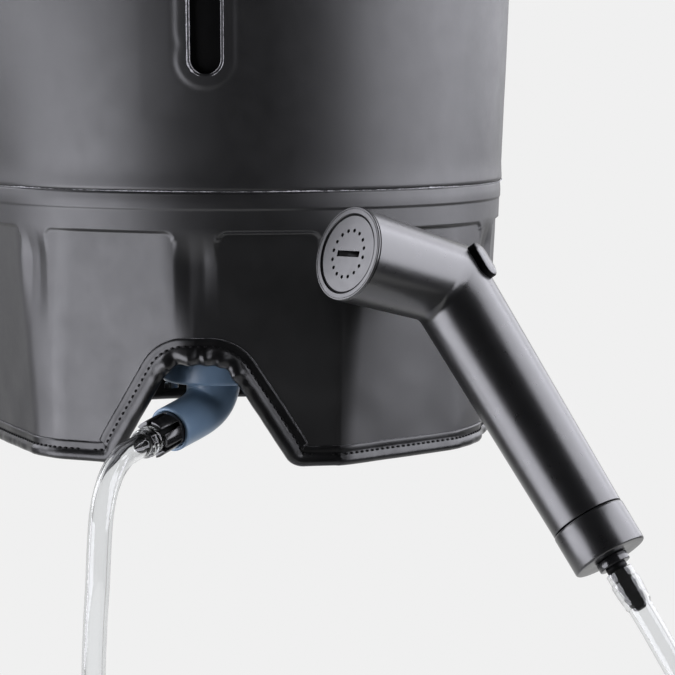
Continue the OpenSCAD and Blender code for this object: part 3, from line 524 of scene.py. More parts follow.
def hose_radii(count):
    """Outer and inner radii along the hose: swollen over ridges at the outlet, and to a lip at the handle."""
    t = np.linspace(0, 1, END_STEPS, endpoint=False)
    shrink = 1 - step(t, *SHRINK_SPAN)
    ridges = 1 - RIDGE_DIP * np.sin(BARB_RIDGES * math.pi * t) ** 2
    lip = LIP_FIRST + LIP_RISE * step(t, *RISE_SPAN) - LIP_FALL * step(t, *FALL_SPAN)
    outer, inner = np.full(count, HOSE_D / 2), np.full(count, HOSE_BORE / 2)
    outer[:END_STEPS] += SWELL * ridges * shrink
    outer[-END_STEPS:] += (SWELL * lip * (1 - step(t, *CLOSE_SPAN)))[::-1]
    wide = (BARB_R + BARB_GAP - HOSE_BORE / 2) * shrink
    inner[:END_STEPS] += wide
    inner[-END_STEPS:] += wide[::-1]
    return outer, inner


def make_hose():
    """One clear tube with its bore, from the outlet's barb round the coil to the hand shower at its right-hand
    end.
    """
    tie = softened("hose_tie", 0.6)
    route = hose_route()
    outer, inner = (swept_rings(route, radii * MM, HOSE_SIDES) for radii in hose_radii(len(route)))
    hose = mesh_object("hose", *closed_shell(outer, inner), CLEAR)
    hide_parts("hose_end_tank", "hose_tank_run", "hose_coil", "hose_handset_run", "hose_end_handset")
    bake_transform(hose)


make_hose()

# Light and ground

PALE = 0.871
FILL = 0.015
# Cosines from straight back over which clear and glossy pieces come to show the pale ground
CLEAR_SPAN = (0.3, 0.85)
CLEAR_LEAST = 0.35
GLOSS_SPAN = (0.5, 0.9)
FLOOR_AT = (40, -60)
FLOOR_DROP = 900
FLOOR_R = 1500
FLOOR_FADE = (400, 750)
FLOOR_PAINT = 0.64
FLOOR_ROUGH = 0.9
LAMP_FAR = 1300
LAMP_AIM_UP = 150
LAMP_COLOUR = (0.98, 0.98, 1.065)
# Lamps: angle from the front towards the right, height above the base, width and height, and power
LAMPS = {
    "left_box": (-60, -247, 1300, 883, 23),
    "left_side": (-98, 600, 800, 840, 11),
    "right_box": (89.5, 598, 1787, 1652, 48),
    "rim_box": (137, 700, 800, 1430, 10),
}


def combined(tree, operation, a, b):
    """Socket of a maths node that takes two sockets."""
    node = tree.nodes.new("ShaderNodeMath")
    node.operation = operation
    tree.links.new(a, node.inputs[0])
    tree.links.new(b, node.inputs[1])
    return node.outputs[0]


def pale_for_camera(tree, light_shader, pale_shader, seen):
    """Shader that shows a plain pale ground where seen is 1, and the lit one elsewhere."""
    mix_shader = new_node(tree, "MixShader", Fac=seen)
    tree.links.new(light_shader, mix_shader.inputs[1])
    pale_shader.inputs["Color"].default_value = (PALE, PALE, PALE, 1)
    tree.links.new(pale_shader.outputs[0], mix_shader.inputs[2])
    return mix_shader.outputs[0]


def ramp(tree, value, start, stop, low=0.0):
    """Socket that goes from low to 1 while a value goes from start to stop."""
    node = new_node(tree, "MapRange", Value=value, From_Min=start, From_Max=stop, To_Min=low)
    node.interpolation_type = "SMOOTHSTEP"
    return node.outputs["Result"]


def make_world():
    """Pale ground behind the part, also for glossy and clear pieces that show that way, and dim elsewhere."""
    world = bpy.data.worlds.new("studio")
    bpy.context.scene.world = world
    world.use_nodes = True
    tree = world.node_tree
    fill = tree.nodes["Background"]
    fill.inputs["Color"].default_value = (FILL, FILL, FILL, 1)
    behind = tree.nodes.new("ShaderNodeVectorMath")
    behind.operation = "DOT_PRODUCT"
    tree.links.new(tree.nodes.new("ShaderNodeTexCoord").outputs["Generated"], behind.inputs[0])
    behind.inputs[1].default_value = (-math.sin(CAMERA_SWING), math.cos(CAMERA_SWING), 0)
    way = behind.outputs["Value"]
    rays = tree.nodes.new("ShaderNodeLightPath").outputs
    clear = combined(tree, "MULTIPLY", rays["Is Transmission Ray"], ramp(tree, way, *CLEAR_SPAN, CLEAR_LEAST))
    gloss = combined(tree, "MULTIPLY", rays["Is Glossy Ray"], ramp(tree, way, *GLOSS_SPAN))
    seen = combined(tree, "MAXIMUM", rays["Is Camera Ray"], combined(tree, "MAXIMUM", clear, gloss))
    shown = pale_for_camera(tree, fill.outputs[0], tree.nodes.new("ShaderNodeBackground"), seen)
    tree.links.new(shown, tree.nodes["World Output"].inputs["Surface"])


def make_floor():
    """Round pale floor below the hanging hose, which fades into the pale ground."""
    near, far = (edge * MM for edge in FLOOR_FADE)
    material = bpy.data.materials.new("floor")
    material.use_nodes = True
    tree = material.node_tree
    paint = tree.nodes["Principled BSDF"]
    paint.inputs["Base Color"].default_value = (FLOOR_PAINT, FLOOR_PAINT, FLOOR_PAINT, 1)
    paint.inputs["Roughness"].default_value = FLOOR_ROUGH
    place = tree.nodes.new("ShaderNodeTexCoord")
    away = tree.nodes.new("ShaderNodeVectorMath")
    away.operation = "LENGTH"
    tree.links.new(place.outputs["Object"], away.inputs[0])
    rays = tree.nodes.new("ShaderNodeLightPath").outputs
    other = combined(tree, "MAXIMUM", rays["Is Transmission Ray"], rays["Is Glossy Ray"])
    seen = combined(tree, "MAXIMUM", rays["Is Camera Ray"], other)
    seen = combined(tree, "MULTIPLY", seen, ramp(tree, away.outputs["Value"], near, far))
    shown = pale_for_camera(tree, paint.outputs[0], tree.nodes.new("ShaderNodeEmission"), seen)
    tree.links.new(shown, tree.nodes["Material Output"].inputs["Surface"])
    bm = bmesh.new()
    bmesh.ops.create_circle(bm, cap_ends=True, segments=96, radius=FLOOR_R * MM)
    mesh = bpy.data.meshes.new("floor")
    bm.to_mesh(mesh)
    bm.free()
    mesh.materials.append(material)
    floor = add_object("floor", mesh)
    floor.location = from_base(*FLOOR_AT, -FLOOR_DROP)


def softbox(name, turn, up, width, height, power):
    """Area lamp at an angle from the front towards the right, facing the tank's axis."""
    data = bpy.data.lights.new(name, "AREA")
    data.shape = "RECTANGLE"
    data.size = width * MM
    data.size_y = height * MM
    data.energy = power
    data.color = LAMP_COLOUR
    lamp = add_object(name, data)
    q = math.radians(turn)
    lamp.location = from_base(LAMP_FAR * math.sin(q), -LAMP_FAR * math.cos(q), up)
    lamp.rotation_euler = (from_base(0, 0, LAMP_AIM_UP) - lamp.location).to_track_quat("-Z", "Y").to_euler()
    lamp.visible_camera = False
    lamp.visible_transmission = False


make_world()
make_floor()
for name, values in LAMPS.items():
    softbox(name, *values)
bpy.context.scene.view_settings.view_transform = "Standard"

# Cover: every point of the skirt comes from one radius rule

PADS = 10
HALF = math.pi / PADS
PAD_EDGES = np.radians(np.concatenate([[0, 30], np.linspace(77, 320, PADS - 2), [360]]))
FLAT_TOP = COVER_R - 3.2
FLAT_LOW = (BASE_R + 1.2) * math.cos(HALF)
PAD_TOP = SEAM_UP - 17.3
PAD_CORNER = 4.5
GROOVE_UP = SEAM_UP - 7.8
CHANNEL_HALF = 9.3
CHANNEL_FLOOR = 3.2
CHANNEL_D = 1.9
CHANNEL_FADE = (PAD_TOP - 14, PAD_TOP + 2)
REAR_SPAN = (1.45, 1.6)
REAR_ROUND = 0.6
HIGH_SPAN = (48, 88)
HIGH_DROP = 0.7
PAD_SOFT = 1.1
LEDGE_HALF = 0.7
RIDGE = 0.4
RIDGE_SPAN = (GROOVE_UP - 0.5, GROOVE_UP + 0.7)
RIDGE_END = (SEAM_UP - 5, SEAM_UP)
LOW_SPAN = (12, 60)
CALM_SPAN = (90, 100)
ARCH_W = 73
ARCH_TOP_W = 23
ARCH_H = 41
ARCH_R = 12
FOOT_R = 8
FOOT_RUN = 7
HEM_DROP = 3.8
SKIRT_T = 1.5
SKIRT_COLS = 800
SPLIT_UP = 58
FRONT_TURN = 0.6
UNDER_ARCH = 2.5
UNDER_HEM = 1
MOST_SINE = 0.99


def soft_min(a, b, k):
    """Lower of two values, with a soft change from one to the other."""
    h = np.clip(0.5 + 0.5 * (b - a) / k, 0, 1)
    return b + (a - b) * h - k * h * (1 - h)


def wave(turn, up, size, seed):
    """Smooth noise over the cover, of blotches about this many millimetres across."""
    shape = np.broadcast(turn, up).shape
    turn, up = np.broadcast_to(turn, shape).ravel(), np.broadcast_to(up, shape).ravel()
    x, y, z = BASE_R * np.sin(turn) / size, BASE_R * np.cos(turn) / size, up / size
    out = [noise.noise(Vector(p) + SEED * seed) for p in zip(x, y, z)]
    return np.array(out).reshape(shape)


def skirt_radius(turn, up):
    """Outer radius of the skirt: flat pads under a ledge, channels between them and a round band on top."""
    turn, up = np.broadcast_arrays(np.asarray(turn, float), np.asarray(up, float))
    corner = mix(BASE_R, COVER_R, up / SEAM_UP)
    round_turn = np.mod(turn, 2 * math.pi)
    pad_index = np.clip(np.searchsorted(PAD_EDGES, round_turn, side="right") - 1, 0, PADS - 1)
    first, last = PAD_EDGES[pad_index], PAD_EDGES[pad_index + 1]
    half = np.minimum((last - first) / 2, HALF)
    off = round_turn - np.where(round_turn < math.pi, first + half, last - half)
    rear = step(np.minimum(round_turn, 2 * math.pi - round_turn), *REAR_SPAN)
    flat = mix(mix(FLAT_LOW, FLAT_TOP, up / SEAM_UP) / np.cos(off), corner, REAR_ROUND * rear)
    side = corner * np.minimum(round_turn - first, last - round_turn)
    bay = PAD_CORNER - np.clip(side - CHANNEL_HALF, 0, PAD_CORNER)
    top = PAD_TOP - PAD_CORNER + np.sqrt(PAD_CORNER ** 2 - bay ** 2)
    high = step(up, *HIGH_SPAN)
    pad = soft_min(flat, corner - HIGH_DROP * high, PAD_SOFT)
    flank = np.clip((side - CHANNEL_FLOOR) / (CHANNEL_HALF - CHANNEL_FLOOR), 0, 1)
    fade = 1 - step(up, *CHANNEL_FADE)
    deep = CHANNEL_D * high * (1 - flank) * fade
    below = 1 - step(up, top - LEDGE_HALF, top + LEDGE_HALF)
    radius = mix(corner, pad, np.where(side > CHANNEL_HALF, below, fade)) - deep
    ridge = step(up, *RIDGE_SPAN) * RIDGE
    low = 1 - step(up, *LOW_SPAN)
    waves = 0.35 * wave(turn, up, 42, 1) + (0.12 + 0.3 * low) * wave(turn, up, 17, 2)
    return radius + ridge * (1 - step(up, *RIDGE_END)) + waves * (1 - 0.6 * step(up, *CALM_SPAN))


def round_point(radius, turn, up):
    """Points at a radius, an angle from the front and a height."""
    r, z = radius * MM, BASE_Z + np.asarray(up) * MM
    return np.stack(np.broadcast_arrays(r * np.sin(turn), -r * np.cos(turn), z), -1)


def skirt_point(turn, up, out):
    return round_point(skirt_radius(turn, up) + out, turn, up)


def arch_outline(spacing):
    """Arch from its left foot over the top: run lengths, points and directions away from the opening."""
    lean = math.atan2((ARCH_W - ARCH_TOP_W) / 2, ARCH_H)
    up_c = ARCH_H - ARCH_R
    edge = ARCH_W / 2 - up_c * math.tan(lean) - ARCH_R / math.cos(lean)
    tangent = FOOT_R / math.tan((math.pi / 2 + lean) / 2)
    foot = (ARCH_W / 2 + HEM_DROP * math.tan(lean) + tangent, FOOT_R - HEM_DROP)
    top_arc = np.linspace(0, math.pi / 2 - lean, 14)
    foot_arc = np.linspace(lean, math.pi / 2, 12)
    right = [(0, ARCH_H)]
    right += [(edge + ARCH_R * math.sin(q), up_c + ARCH_R * math.cos(q)) for q in top_arc]
    right += [(foot[0] - FOOT_R * math.cos(q), foot[1] - FOOT_R * math.sin(q)) for q in foot_arc]
    right += [(foot[0] + FOOT_RUN, -HEM_DROP)]
    line = np.array([(-x, y) for x, y in right[::-1]] + right[1:])
    along = run_lengths(line)
    s = np.linspace(0, along[-1], int(along[-1] / spacing) + 1)
    points = np.stack([np.interp(s, along, line[:, k]) for k in (0, 1)], -1)
    ways = np.gradient(points, axis=0)
    ways /= np.linalg.norm(ways, axis=1)[:, None]
    return s, points, np.stack([-ways[:, 1], ways[:, 0]], -1)


ARCH_S, ARCH_POINTS, ARCH_AWAY = arch_outline(0.6)
ARCH_FOOT = ARCH_POINTS[-1][0]


def turn_at(x, up, out):
    """Angle round the tank of a point of the skirt at this distance from the middle plane."""
    turn = np.arcsin(np.clip(x / BASE_R, -MOST_SINE, MOST_SINE))
    for _ in range(3):
        turn = np.arcsin(np.clip(x / (skirt_radius(turn, up) + out), -MOST_SINE, MOST_SINE))
    return turn


def make_skirt():
    """Padded skirt, open at the arch, with closer rows at the pads' ledge and at the groove over them."""
    turns = np.linspace(-math.pi, math.pi, SKIRT_COLS, endpoint=False)
    x = BASE_R * np.sin(turns)
    edge = np.interp(x, ARCH_POINTS[:, 0], ARCH_POINTS[:, 1] + UNDER_ARCH)
    floor = np.where((np.abs(turns) < FRONT_TURN) & (np.abs(x) < ARCH_FOOT), edge, UNDER_HEM - HEM_DROP)
    low = [mix(floor, SPLIT_UP, t) for t in np.linspace(0, 1, 26)[:-1]]
    ledge, groove = (PAD_TOP - 7, PAD_TOP + 2), (GROOVE_UP - 1.6, GROOVE_UP + 2)
    bands = ((SPLIT_UP, ledge[0], 2.0), (*ledge, 0.45), (ledge[1], groove[0], 1.2), (*groove, 0.3))
    high = np.concatenate([np.arange(*band) for band in bands] + [np.linspace(groove[1], SEAM_UP - 0.1, 5)])
    ups = np.array(low + [np.full(SKIRT_COLS, h) for h in high])
    turns = np.broadcast_to(turns, ups.shape)
    outer = skirt_point(turns, ups, 0.0)
    inner = skirt_point(turns, ups, -SKIRT_T)
    skirt = mesh_object("skirt_pads", *closed_shell(outer, inner), CLOTH)
    put(skirt, "tank", "cover_cloth", "skirt")


# Stitches: length, pitch, and for each ring of a stitch its place along it and its share of the width
STITCH_L = 1.5
STITCH_PITCH = 3.0
STITCH_RINGS = ((-0.5, 0.25), (-0.36, 0.85), (0, 1), (0.36, 0.85), (0.5, 0.25))
STITCH_SIDES = 6
STITCH_FLAT = 0.7
STITCH_UP = 0.5


def stitches(name, points, outs, width):
    """Row of short threads that lie on a line of points; outs are directions away from the cloth."""
    along = run_lengths(points)
    pitch = STITCH_PITCH * MM
    verts, faces = [], []
    ring = [(math.cos(q), math.sin(q)) for q in circle(STITCH_SIDES)]
    for s in np.arange(pitch, along[-1] - pitch, pitch):
        at, ahead = (np.array([np.interp(v, along, points[:, k]) for k in range(3)]) for v in (s, s + 2e-4))
        out = np.array([np.interp(s, along, outs[:, k]) for k in range(3)])
        way = ahead - at
        way /= np.linalg.norm(way)
        side = np.cross(way, out)
        first = len(verts)
        for t, r in STITCH_RINGS:
            for c, n in ring:
                off = (side * c + out * n * STITCH_FLAT) * r * width / 2 * MM
                verts.append(at + way * t * STITCH_L * MM + off)
        faces += grid_faces(len(STITCH_RINGS), STITCH_SIDES, wrap_cols=True, first=first)
        for end in (first, len(verts) - STITCH_SIDES):
            faces.append(tuple(range(end, end + STITCH_SIDES)))
    return put(mesh_object(name, verts, faces, THREAD), "tank", "cover_cloth")


def outward(turn):
    """Level directions away from the tank's axis."""
    return np.stack([np.sin(turn), -np.cos(turn), np.zeros_like(turn)], -1)


# Sections of the hem and of the binding, point by point: distance from the edge and height over the cloth
HEM_STITCH = 5.0
HEM_PROFILE = [(8.6, 0.0), (8.5, 0.25), (7.6, 0.4), (6.3, 0.4), (5.0, 0.1), (4.1, 0.8), (2.7, 1.4),
               (1.2, 1.4), (0.1, 0.6), (-0.3, -0.9), (0.4, -2.2), (2.0, -2.6), (4.0, -1.5), (8.0, -0.6)]
ARCH_STITCH = 7.2
ARCH_PROFILE = [(10.9, 0.0), (10.8, 0.25), (9.6, 0.35), (8.4, 0.4), (7.2, 0.1), (6.2, 1.0), (4.4, 2.0),
                (2.2, 2.2), (0.3, 1.1), (-0.6, -0.8), (-0.3, -3.0), (1.4, -5.0), (4.0, -4.5), (8.0, -1.0)]
# Pleats of the lip: place along the arch from its top, how far each stands out, and how far it hangs down
PLEATS = [(-20, 0.4, 0.1), (-13, 1.0, 0.3), (-8.6, -1.3, -0.6), (-3, 1.3, 0.4), (0.7, -0.6, 0.1),
          (4, 1.3, 0.5), (6.9, -0.9, 0.1), (9.5, 0.7, 0.5), (12.2, -0.8, -0.2), (17, 1.4, 0.3),
          (23, 0.4, 0.1)]
PLEAT_HALF = 2.1
GATHER_SPAN = (2, 20)
RIPPLE = 0.2
PUCKER = 0.3
LIP_W = 3.5
HEM_COLS = 700
HEM_GAP = 0.03
HEM_EASE = 0.06
TRIM_R = 0.16
TRIM_UP = 0.3


def arch_row(width, lift):
    """Points of the skirt at a distance outside the arch's edge."""
    p = ARCH_POINTS + ARCH_AWAY * np.asarray(width)[:, None]
    return skirt_point(turn_at(p[:, 0], p[:, 1], lift), p[:, 1], lift)


def make_binding():
    """Binding of the lower edge in one loop: over the arch, where its lip gathers, and round the hem."""
    s = ARCH_S
    arch = step(np.minimum(s, s[-1] - s), *GATHER_SPAN)
    ripple = RIPPLE * arch * np.array([noise.noise(Vector((v / 6.0, 2.3, 0.7))) for v in s])
    bells = [np.exp(-(((s - s[-1] / 2 - at) / PLEAT_HALF) ** 2)) for at, _, _ in PLEATS]
    stand = sum(bell * pleat[1] for bell, pleat in zip(bells, PLEATS)) + ripple
    hang = sum(bell * pleat[2] for bell, pleat in zip(bells, PLEATS)) + ripple
    foot = math.asin(ARCH_FOOT / BASE_R) + HEM_GAP
    turns = np.linspace(foot, 2 * math.pi - foot, HEM_COLS)
    inside = step(turns, foot, foot + HEM_EASE) * (1 - step(turns, turns[-1] - HEM_EASE, turns[-1]))
    pucker = PUCKER * wave(turns, HEM_STITCH, 5, 5) * inside
    rows = []
    for (hem_w, hem_out), (arch_w, arch_out) in zip(HEM_PROFILE, ARCH_PROFILE):
        lip = float(np.clip((ARCH_STITCH - arch_w) / LIP_W, 0, 1)) if arch_out > -2 else 0.0
        over = arch_row(mix(hem_w, arch_w, arch) - lip * hang, mix(hem_out, arch_out, arch) + lip * stand)
        hem = skirt_point(turns, hem_w - HEM_DROP, hem_out + pucker * (hem_out > 0.5))
        rows.append(np.concatenate([over, hem]))
    binding = mesh_object("edge_binding", *closed_loop(np.stack(rows, 1)), BINDING)
    put(binding, "tank", "cover_cloth", "skirt_hem", "arch_binding")
    seam = mix(HEM_STITCH, ARCH_STITCH, arch)
    p = ARCH_POINTS + ARCH_AWAY * seam[:, None]
    turn = turn_at(p[:, 0], p[:, 1], STITCH_UP)
    stitches("arch_stitch", skirt_point(turn, p[:, 1], STITCH_UP), outward(turn), 1.05)
    row = skirt_point(turns, HEM_STITCH - HEM_DROP, STITCH_UP)
    stitches("hem_stitch", row, outward(turns), 1.0)
    frayed("hem_edge", turns, HEM_PROFILE[1][0] - HEM_DROP, 0.2, 0.3, 7, TRIM)
    band = mix(HEM_PROFILE[1][0], ARCH_PROFILE[1][0], arch)
    thin = TRIM_R * np.array([0.7 + 0.9 * noise.noise(Vector((v / 1.7, 9.1, 4.4))) for v in s])
    sections = []
    for q in np.radians(np.arange(0, 360, 72)):
        sections.append(arch_row(band + thin * math.cos(q), TRIM_UP + thin * math.sin(q)))
    put(mesh_object("arch_edge", *strip(np.stack(sections, 1)), TRIM), "tank", "cover_cloth")


def frayed(name, turns, up, out, height, seed, material):
    """Cut edge of cloth along a level line, thicker and thinner by turns."""
    n = np.clip(0.4 + 0.5 * wave(turns, up, 2.2, seed) + 0.8 * wave(turns, up, 34, seed + 1), 0, 1)
    fuzz = 0.4 * wave(turns, up, 0.8, seed + 2)
    tall = height * np.clip(n + fuzz, 0.1, 1.2)
    rows = []
    for o, t in ((-0.25, -0.2), (0.1, -0.2), (0.22, 0.5), (0.1, 1.0), (-0.25, 1.0)):
        rows.append(skirt_point(turns, np.minimum(up + tall * t, SEAM_UP + 2), out + o + 0.12 * fuzz))
    return put(mesh_object(name, *strip(np.stack(rows, 1)), material), "tank", "cover_cloth")


SLEEVE_T = 1.6
SLOT_W = 12.3
SLOT_LOW = 162
SLOT_HIGH = SLEEVE_UP - 24
SLOT_TURN = math.radians(2.45)
PATCH_HALF = 26
PATCH_STEP = 2.0
CUT_SIDES = 6
PATCH_RINGS = (9.5, 8.4, 7.6, 6.8, 6.2, 5.6, 5.0, 4.4, 3.6, 2.6, 1.8, 1.2, 0.8, 0.4, 0.0)
# The cloth round the slot stands up by a collar with a small dent at its left
COLLAR_UP = 0.5
COLLAR_SPAN = (4.6, 7.4)
DENT = 1.2
DENT_UP = 174
DENT_HALF = 2.2
SLOT_TUCK = 0.35
# The cloth at the seam stands out, and turns in at its edge
SEAM_OUT = 0.75
SEAM_EASE = 0.45
SEAM_TUCK = 0.5


def sleeve_point(x, up, out):
    """Point of the sleeve; x is the distance round it from the front's middle line, at the seam's radius."""
    turn = np.asarray(x) / COVER_R + SLOT_TURN
    r = mix(COVER_R, SLEEVE_R, (np.asarray(up) - SEAM_UP) / (SLEEVE_UP - SEAM_UP))
    r = r + 0.3 * wave(turn, up, 60, 11) + 0.1 * wave(turn, up, 20, 12) + out
    return round_point(r, turn, up)


def slot_middle(up):
    """Height of the nearest point on the slot's middle line."""
    return np.clip(up, SLOT_LOW + SLOT_W / 2, SLOT_HIGH - SLOT_W / 2)


def sleeve_out(x, up):
    """The cloth stands up round the slot, and turns in at its edge and at the seam."""
    gap = np.hypot(x, up - slot_middle(up)) - SLOT_W / 2
    dent = np.where(x < 0, DENT * np.exp(-(((up - DENT_UP) / DENT_HALF) ** 2)), 0)
    collar = COLLAR_UP * (1 - step(gap + dent, *COLLAR_SPAN))
    turn_in = -SLOT_TUCK * (1 - step(gap, 0, 0.8))
    edge = SEAM_TUCK * (1 - step(up, SEAM_UP, SEAM_UP + 0.9))
    return collar + turn_in + SEAM_OUT - SEAM_EASE * step(up, SEAM_UP, SEAM_UP + 9) - edge


def make_sleeve():
    """Sleeve with the level slot: a regular grid round the tank and a patch of rings about the slot."""
    half = math.pi * COVER_R
    fine = np.arange(-PATCH_HALF, PATCH_HALF + 0.1, PATCH_STEP)
    rest = np.linspace(PATCH_HALF, 2 * half - PATCH_HALF, 240)[1:-1]
    xs = np.concatenate([fine, rest])
    low, high = SLOT_LOW - 20, SLOT_HIGH + 14
    ups = np.concatenate([SEAM_UP + np.array([0, 0.4, 0.9, 1.8, 3.2, 5, 8]), np.arange(SEAM_UP + 12, low, 4),
                          np.arange(low, high + 0.1, PATCH_STEP), np.linspace(high, SLEEVE_UP, 4)[1:]])
    gx, gu = np.meshgrid(xs, ups)
    verts = list(sleeve_point(gx, gu, sleeve_out(np.where(gx > half, gx - 2 * half, gx), gu)).reshape(-1, 3))
    cols, n_fine = len(xs), len(fine)
    r0, r1 = int(np.searchsorted(ups, low - 0.01)), int(np.searchsorted(ups, high - 0.01))
    faces = [quad for k, quad in enumerate(grid_faces(len(ups), cols, wrap_cols=True))
             if not (r0 <= k // cols < r1 and k % cols < n_fine - 1)]
    loop = [(r0, c) for c in range(n_fine - 1)] + [(r, n_fine - 1) for r in range(r0, r1)]
    loop += [(r1, c) for c in range(n_fine - 1, 0, -1)] + [(r, 0) for r in range(r1, r0, -1)]
    outline = np.array([(xs[c], ups[r]) for r, c in loop])
    mid = np.stack([0 * outline[:, 0], slot_middle(outline[:, 1])], -1)
    away = outline - mid
    away /= np.linalg.norm(away, axis=1)[:, None]
    ring = [r * cols + c for r, c in loop]
    for gap in PATCH_RINGS:
        p = mid + away * (SLOT_W / 2 + gap)
        new = range(len(verts), len(verts) + len(p))
        verts += list(sleeve_point(p[:, 0], p[:, 1], sleeve_out(p[:, 0], p[:, 1])))
        for i in range(len(ring)):
            j = (i + 1) % len(ring)
            faces.append((ring[i], ring[j], new[j], new[i]))
        ring = list(new)
    sleeve = mesh_object("sleeve_cloth", verts, faces, CLOTH)
    thick = sleeve.modifiers.new("thick", "SOLIDIFY")
    thick.thickness = SLEEVE_T * MM
    thick.offset = -1
    bpy.context.view_layer.update()
    solid = bpy.data.meshes.new_from_object(sleeve.evaluated_get(bpy.context.evaluated_depsgraph_get()))
    sleeve.modifiers.clear()
    sleeve.data = solid
    solid.shade_smooth()
    put(sleeve, "tank", "cover_cloth", "sleeve")
    turns = np.linspace(-math.pi, math.pi, 2000)
    frayed("seam_edge", turns, SEAM_UP - 0.2, SEAM_OUT, 0.5, 21, EDGE)
    slot_edge(mid, away)


def slot_edge(mid, away):
    """Two pale lines of cut cloth round the slot: stronger on the left, none at its lowest point."""
    lowest = 1 - step(-away[:, 1], 0.8, 0.98)
    side = mix(1.0, 0.6, step(away[:, 0], -0.5, 0.5)) * lowest
    for name, gap, size, beads in (("slot_edge_inner", 0.25, 0.2, 0.3), ("slot_edge_outer", 1.25, 0.24, 1.1)):
        place = mid + away * (SLOT_W / 2 + gap)
        bead = np.array([noise.noise(Vector((x, up, gap)) * 0.8) for x, up in place])
        r = size * side * np.clip(1 + beads * bead, 0.15, 2)
        rows = []
        for q in circle(CUT_SIDES):
            p = mid + away * (SLOT_W / 2 + gap + r * math.cos(q))[:, None]
            lift = sleeve_out(place[:, 0], place[:, 1]) + 0.05 + r * math.sin(q)
            rows.append(sleeve_point(p[:, 0], p[:, 1], lift))
        put(mesh_object(name, *closed_loop(np.stack(rows, 1)), EDGE), "tank", "cover_cloth")


make_skirt()
make_binding()
make_sleeve()

# Hand shower, in its own place: the handle runs along -Z and the lift is along -Y

HANDSET = Matrix.Translation(ELBOW) @ Matrix((
    LIFT_WAY.cross(HANDLE_WAY), -LIFT_WAY, -HANDLE_WAY)).transposed().to_4x4()
GRIP_L = 116.5
GRIP_R = 15.5
ELBOW_R = 17.8
HEAD_L = 55
FACE_R = 19.5
BEZEL_T = 4
LIP_T = 1.1
LIP_GAP = 0.3
RING_R = 16.5
PLATE_R = 16
PLATE_IN = 0.6
SPRAY_SLOT_L = 14
SPRAY_SLOT_W = 2.5
SPRAY_SLOT_D = 2
SPRAY_SLOT_A = math.radians(52)
COLLAR_L = 18.5
SHELL_T = 2.6
SHELL_SIDES = 96
BEND = 3
EDGE_ROW = 0.2
BUTTON_L = 16.5
BUTTON_W = 10
BUTTON_UP = 3.4
BUTTON_AT = -1.5
BUTTON_SIDES = 48
BUTTON_SHADED_SIDE_COS = 0.6


def handset_line(angle, inset):
    """One line of the shell at an angle round it, from the handle's end round the bend to the head's end."""
    tilt = (math.pi - ELBOW_ANGLE) / 2
    mirror_n = Vector((-math.sin(tilt), 0, math.cos(tilt)))
    c, s = math.cos(angle), math.sin(angle)

    def on_arm(along, end_r, length):
        r = mix(ELBOW_R, end_r, along / length) - inset
        return Vector((r * c, r * s, -along))

    def mirrored(p):
        return p - mirror_n * 2 * p.dot(mirror_n)

    head_end = HEAD_L - (LIP_T + LIP_GAP)
    at = -(ELBOW_R - inset) * c * math.tan(tilt)
    grip = [GRIP_L, *np.linspace(GRIP_L - EDGE_ROW, at + BEND, 16)]
    head = [*np.linspace(at + BEND, head_end - EDGE_ROW, 10), head_end]
    low = [on_arm(a, GRIP_R, GRIP_L) for a in grip]
    high = [mirrored(on_arm(a, FACE_R, HEAD_L)) for a in head]
    corner = (on_arm(at, GRIP_R, GRIP_L) + mirrored(on_arm(at, FACE_R, HEAD_L))) / 2
    return low + [bent(low[-1], corner, high[0], t) for t in np.linspace(0, 1, 10)[1:-1]] + high


def make_handset_shell():
    walls = []
    for inset in (0, SHELL_T):
        lines = [handset_line(q, inset) for q in circle(SHELL_SIDES)]
        walls.append(np.array([[tuple(p * MM) for p in line] for line in lines]).transpose(1, 0, 2))
    shell = mesh_object("handset_body", *closed_shell(*walls), CHARCOAL)
    shell.data.transform(HANDSET)
    put(shell, "handset", "charcoal_plastic", "handset_shell")


def head_place(along):
    """Place on the head's axis with its Z axis out of the spray face."""
    side = LIFT_WAY.cross(HEAD_WAY)
    turn = Matrix((side, HEAD_WAY.cross(side), HEAD_WAY)).transposed().to_4x4()
    return Matrix.Translation(ELBOW + HEAD_WAY * along * MM) @ turn


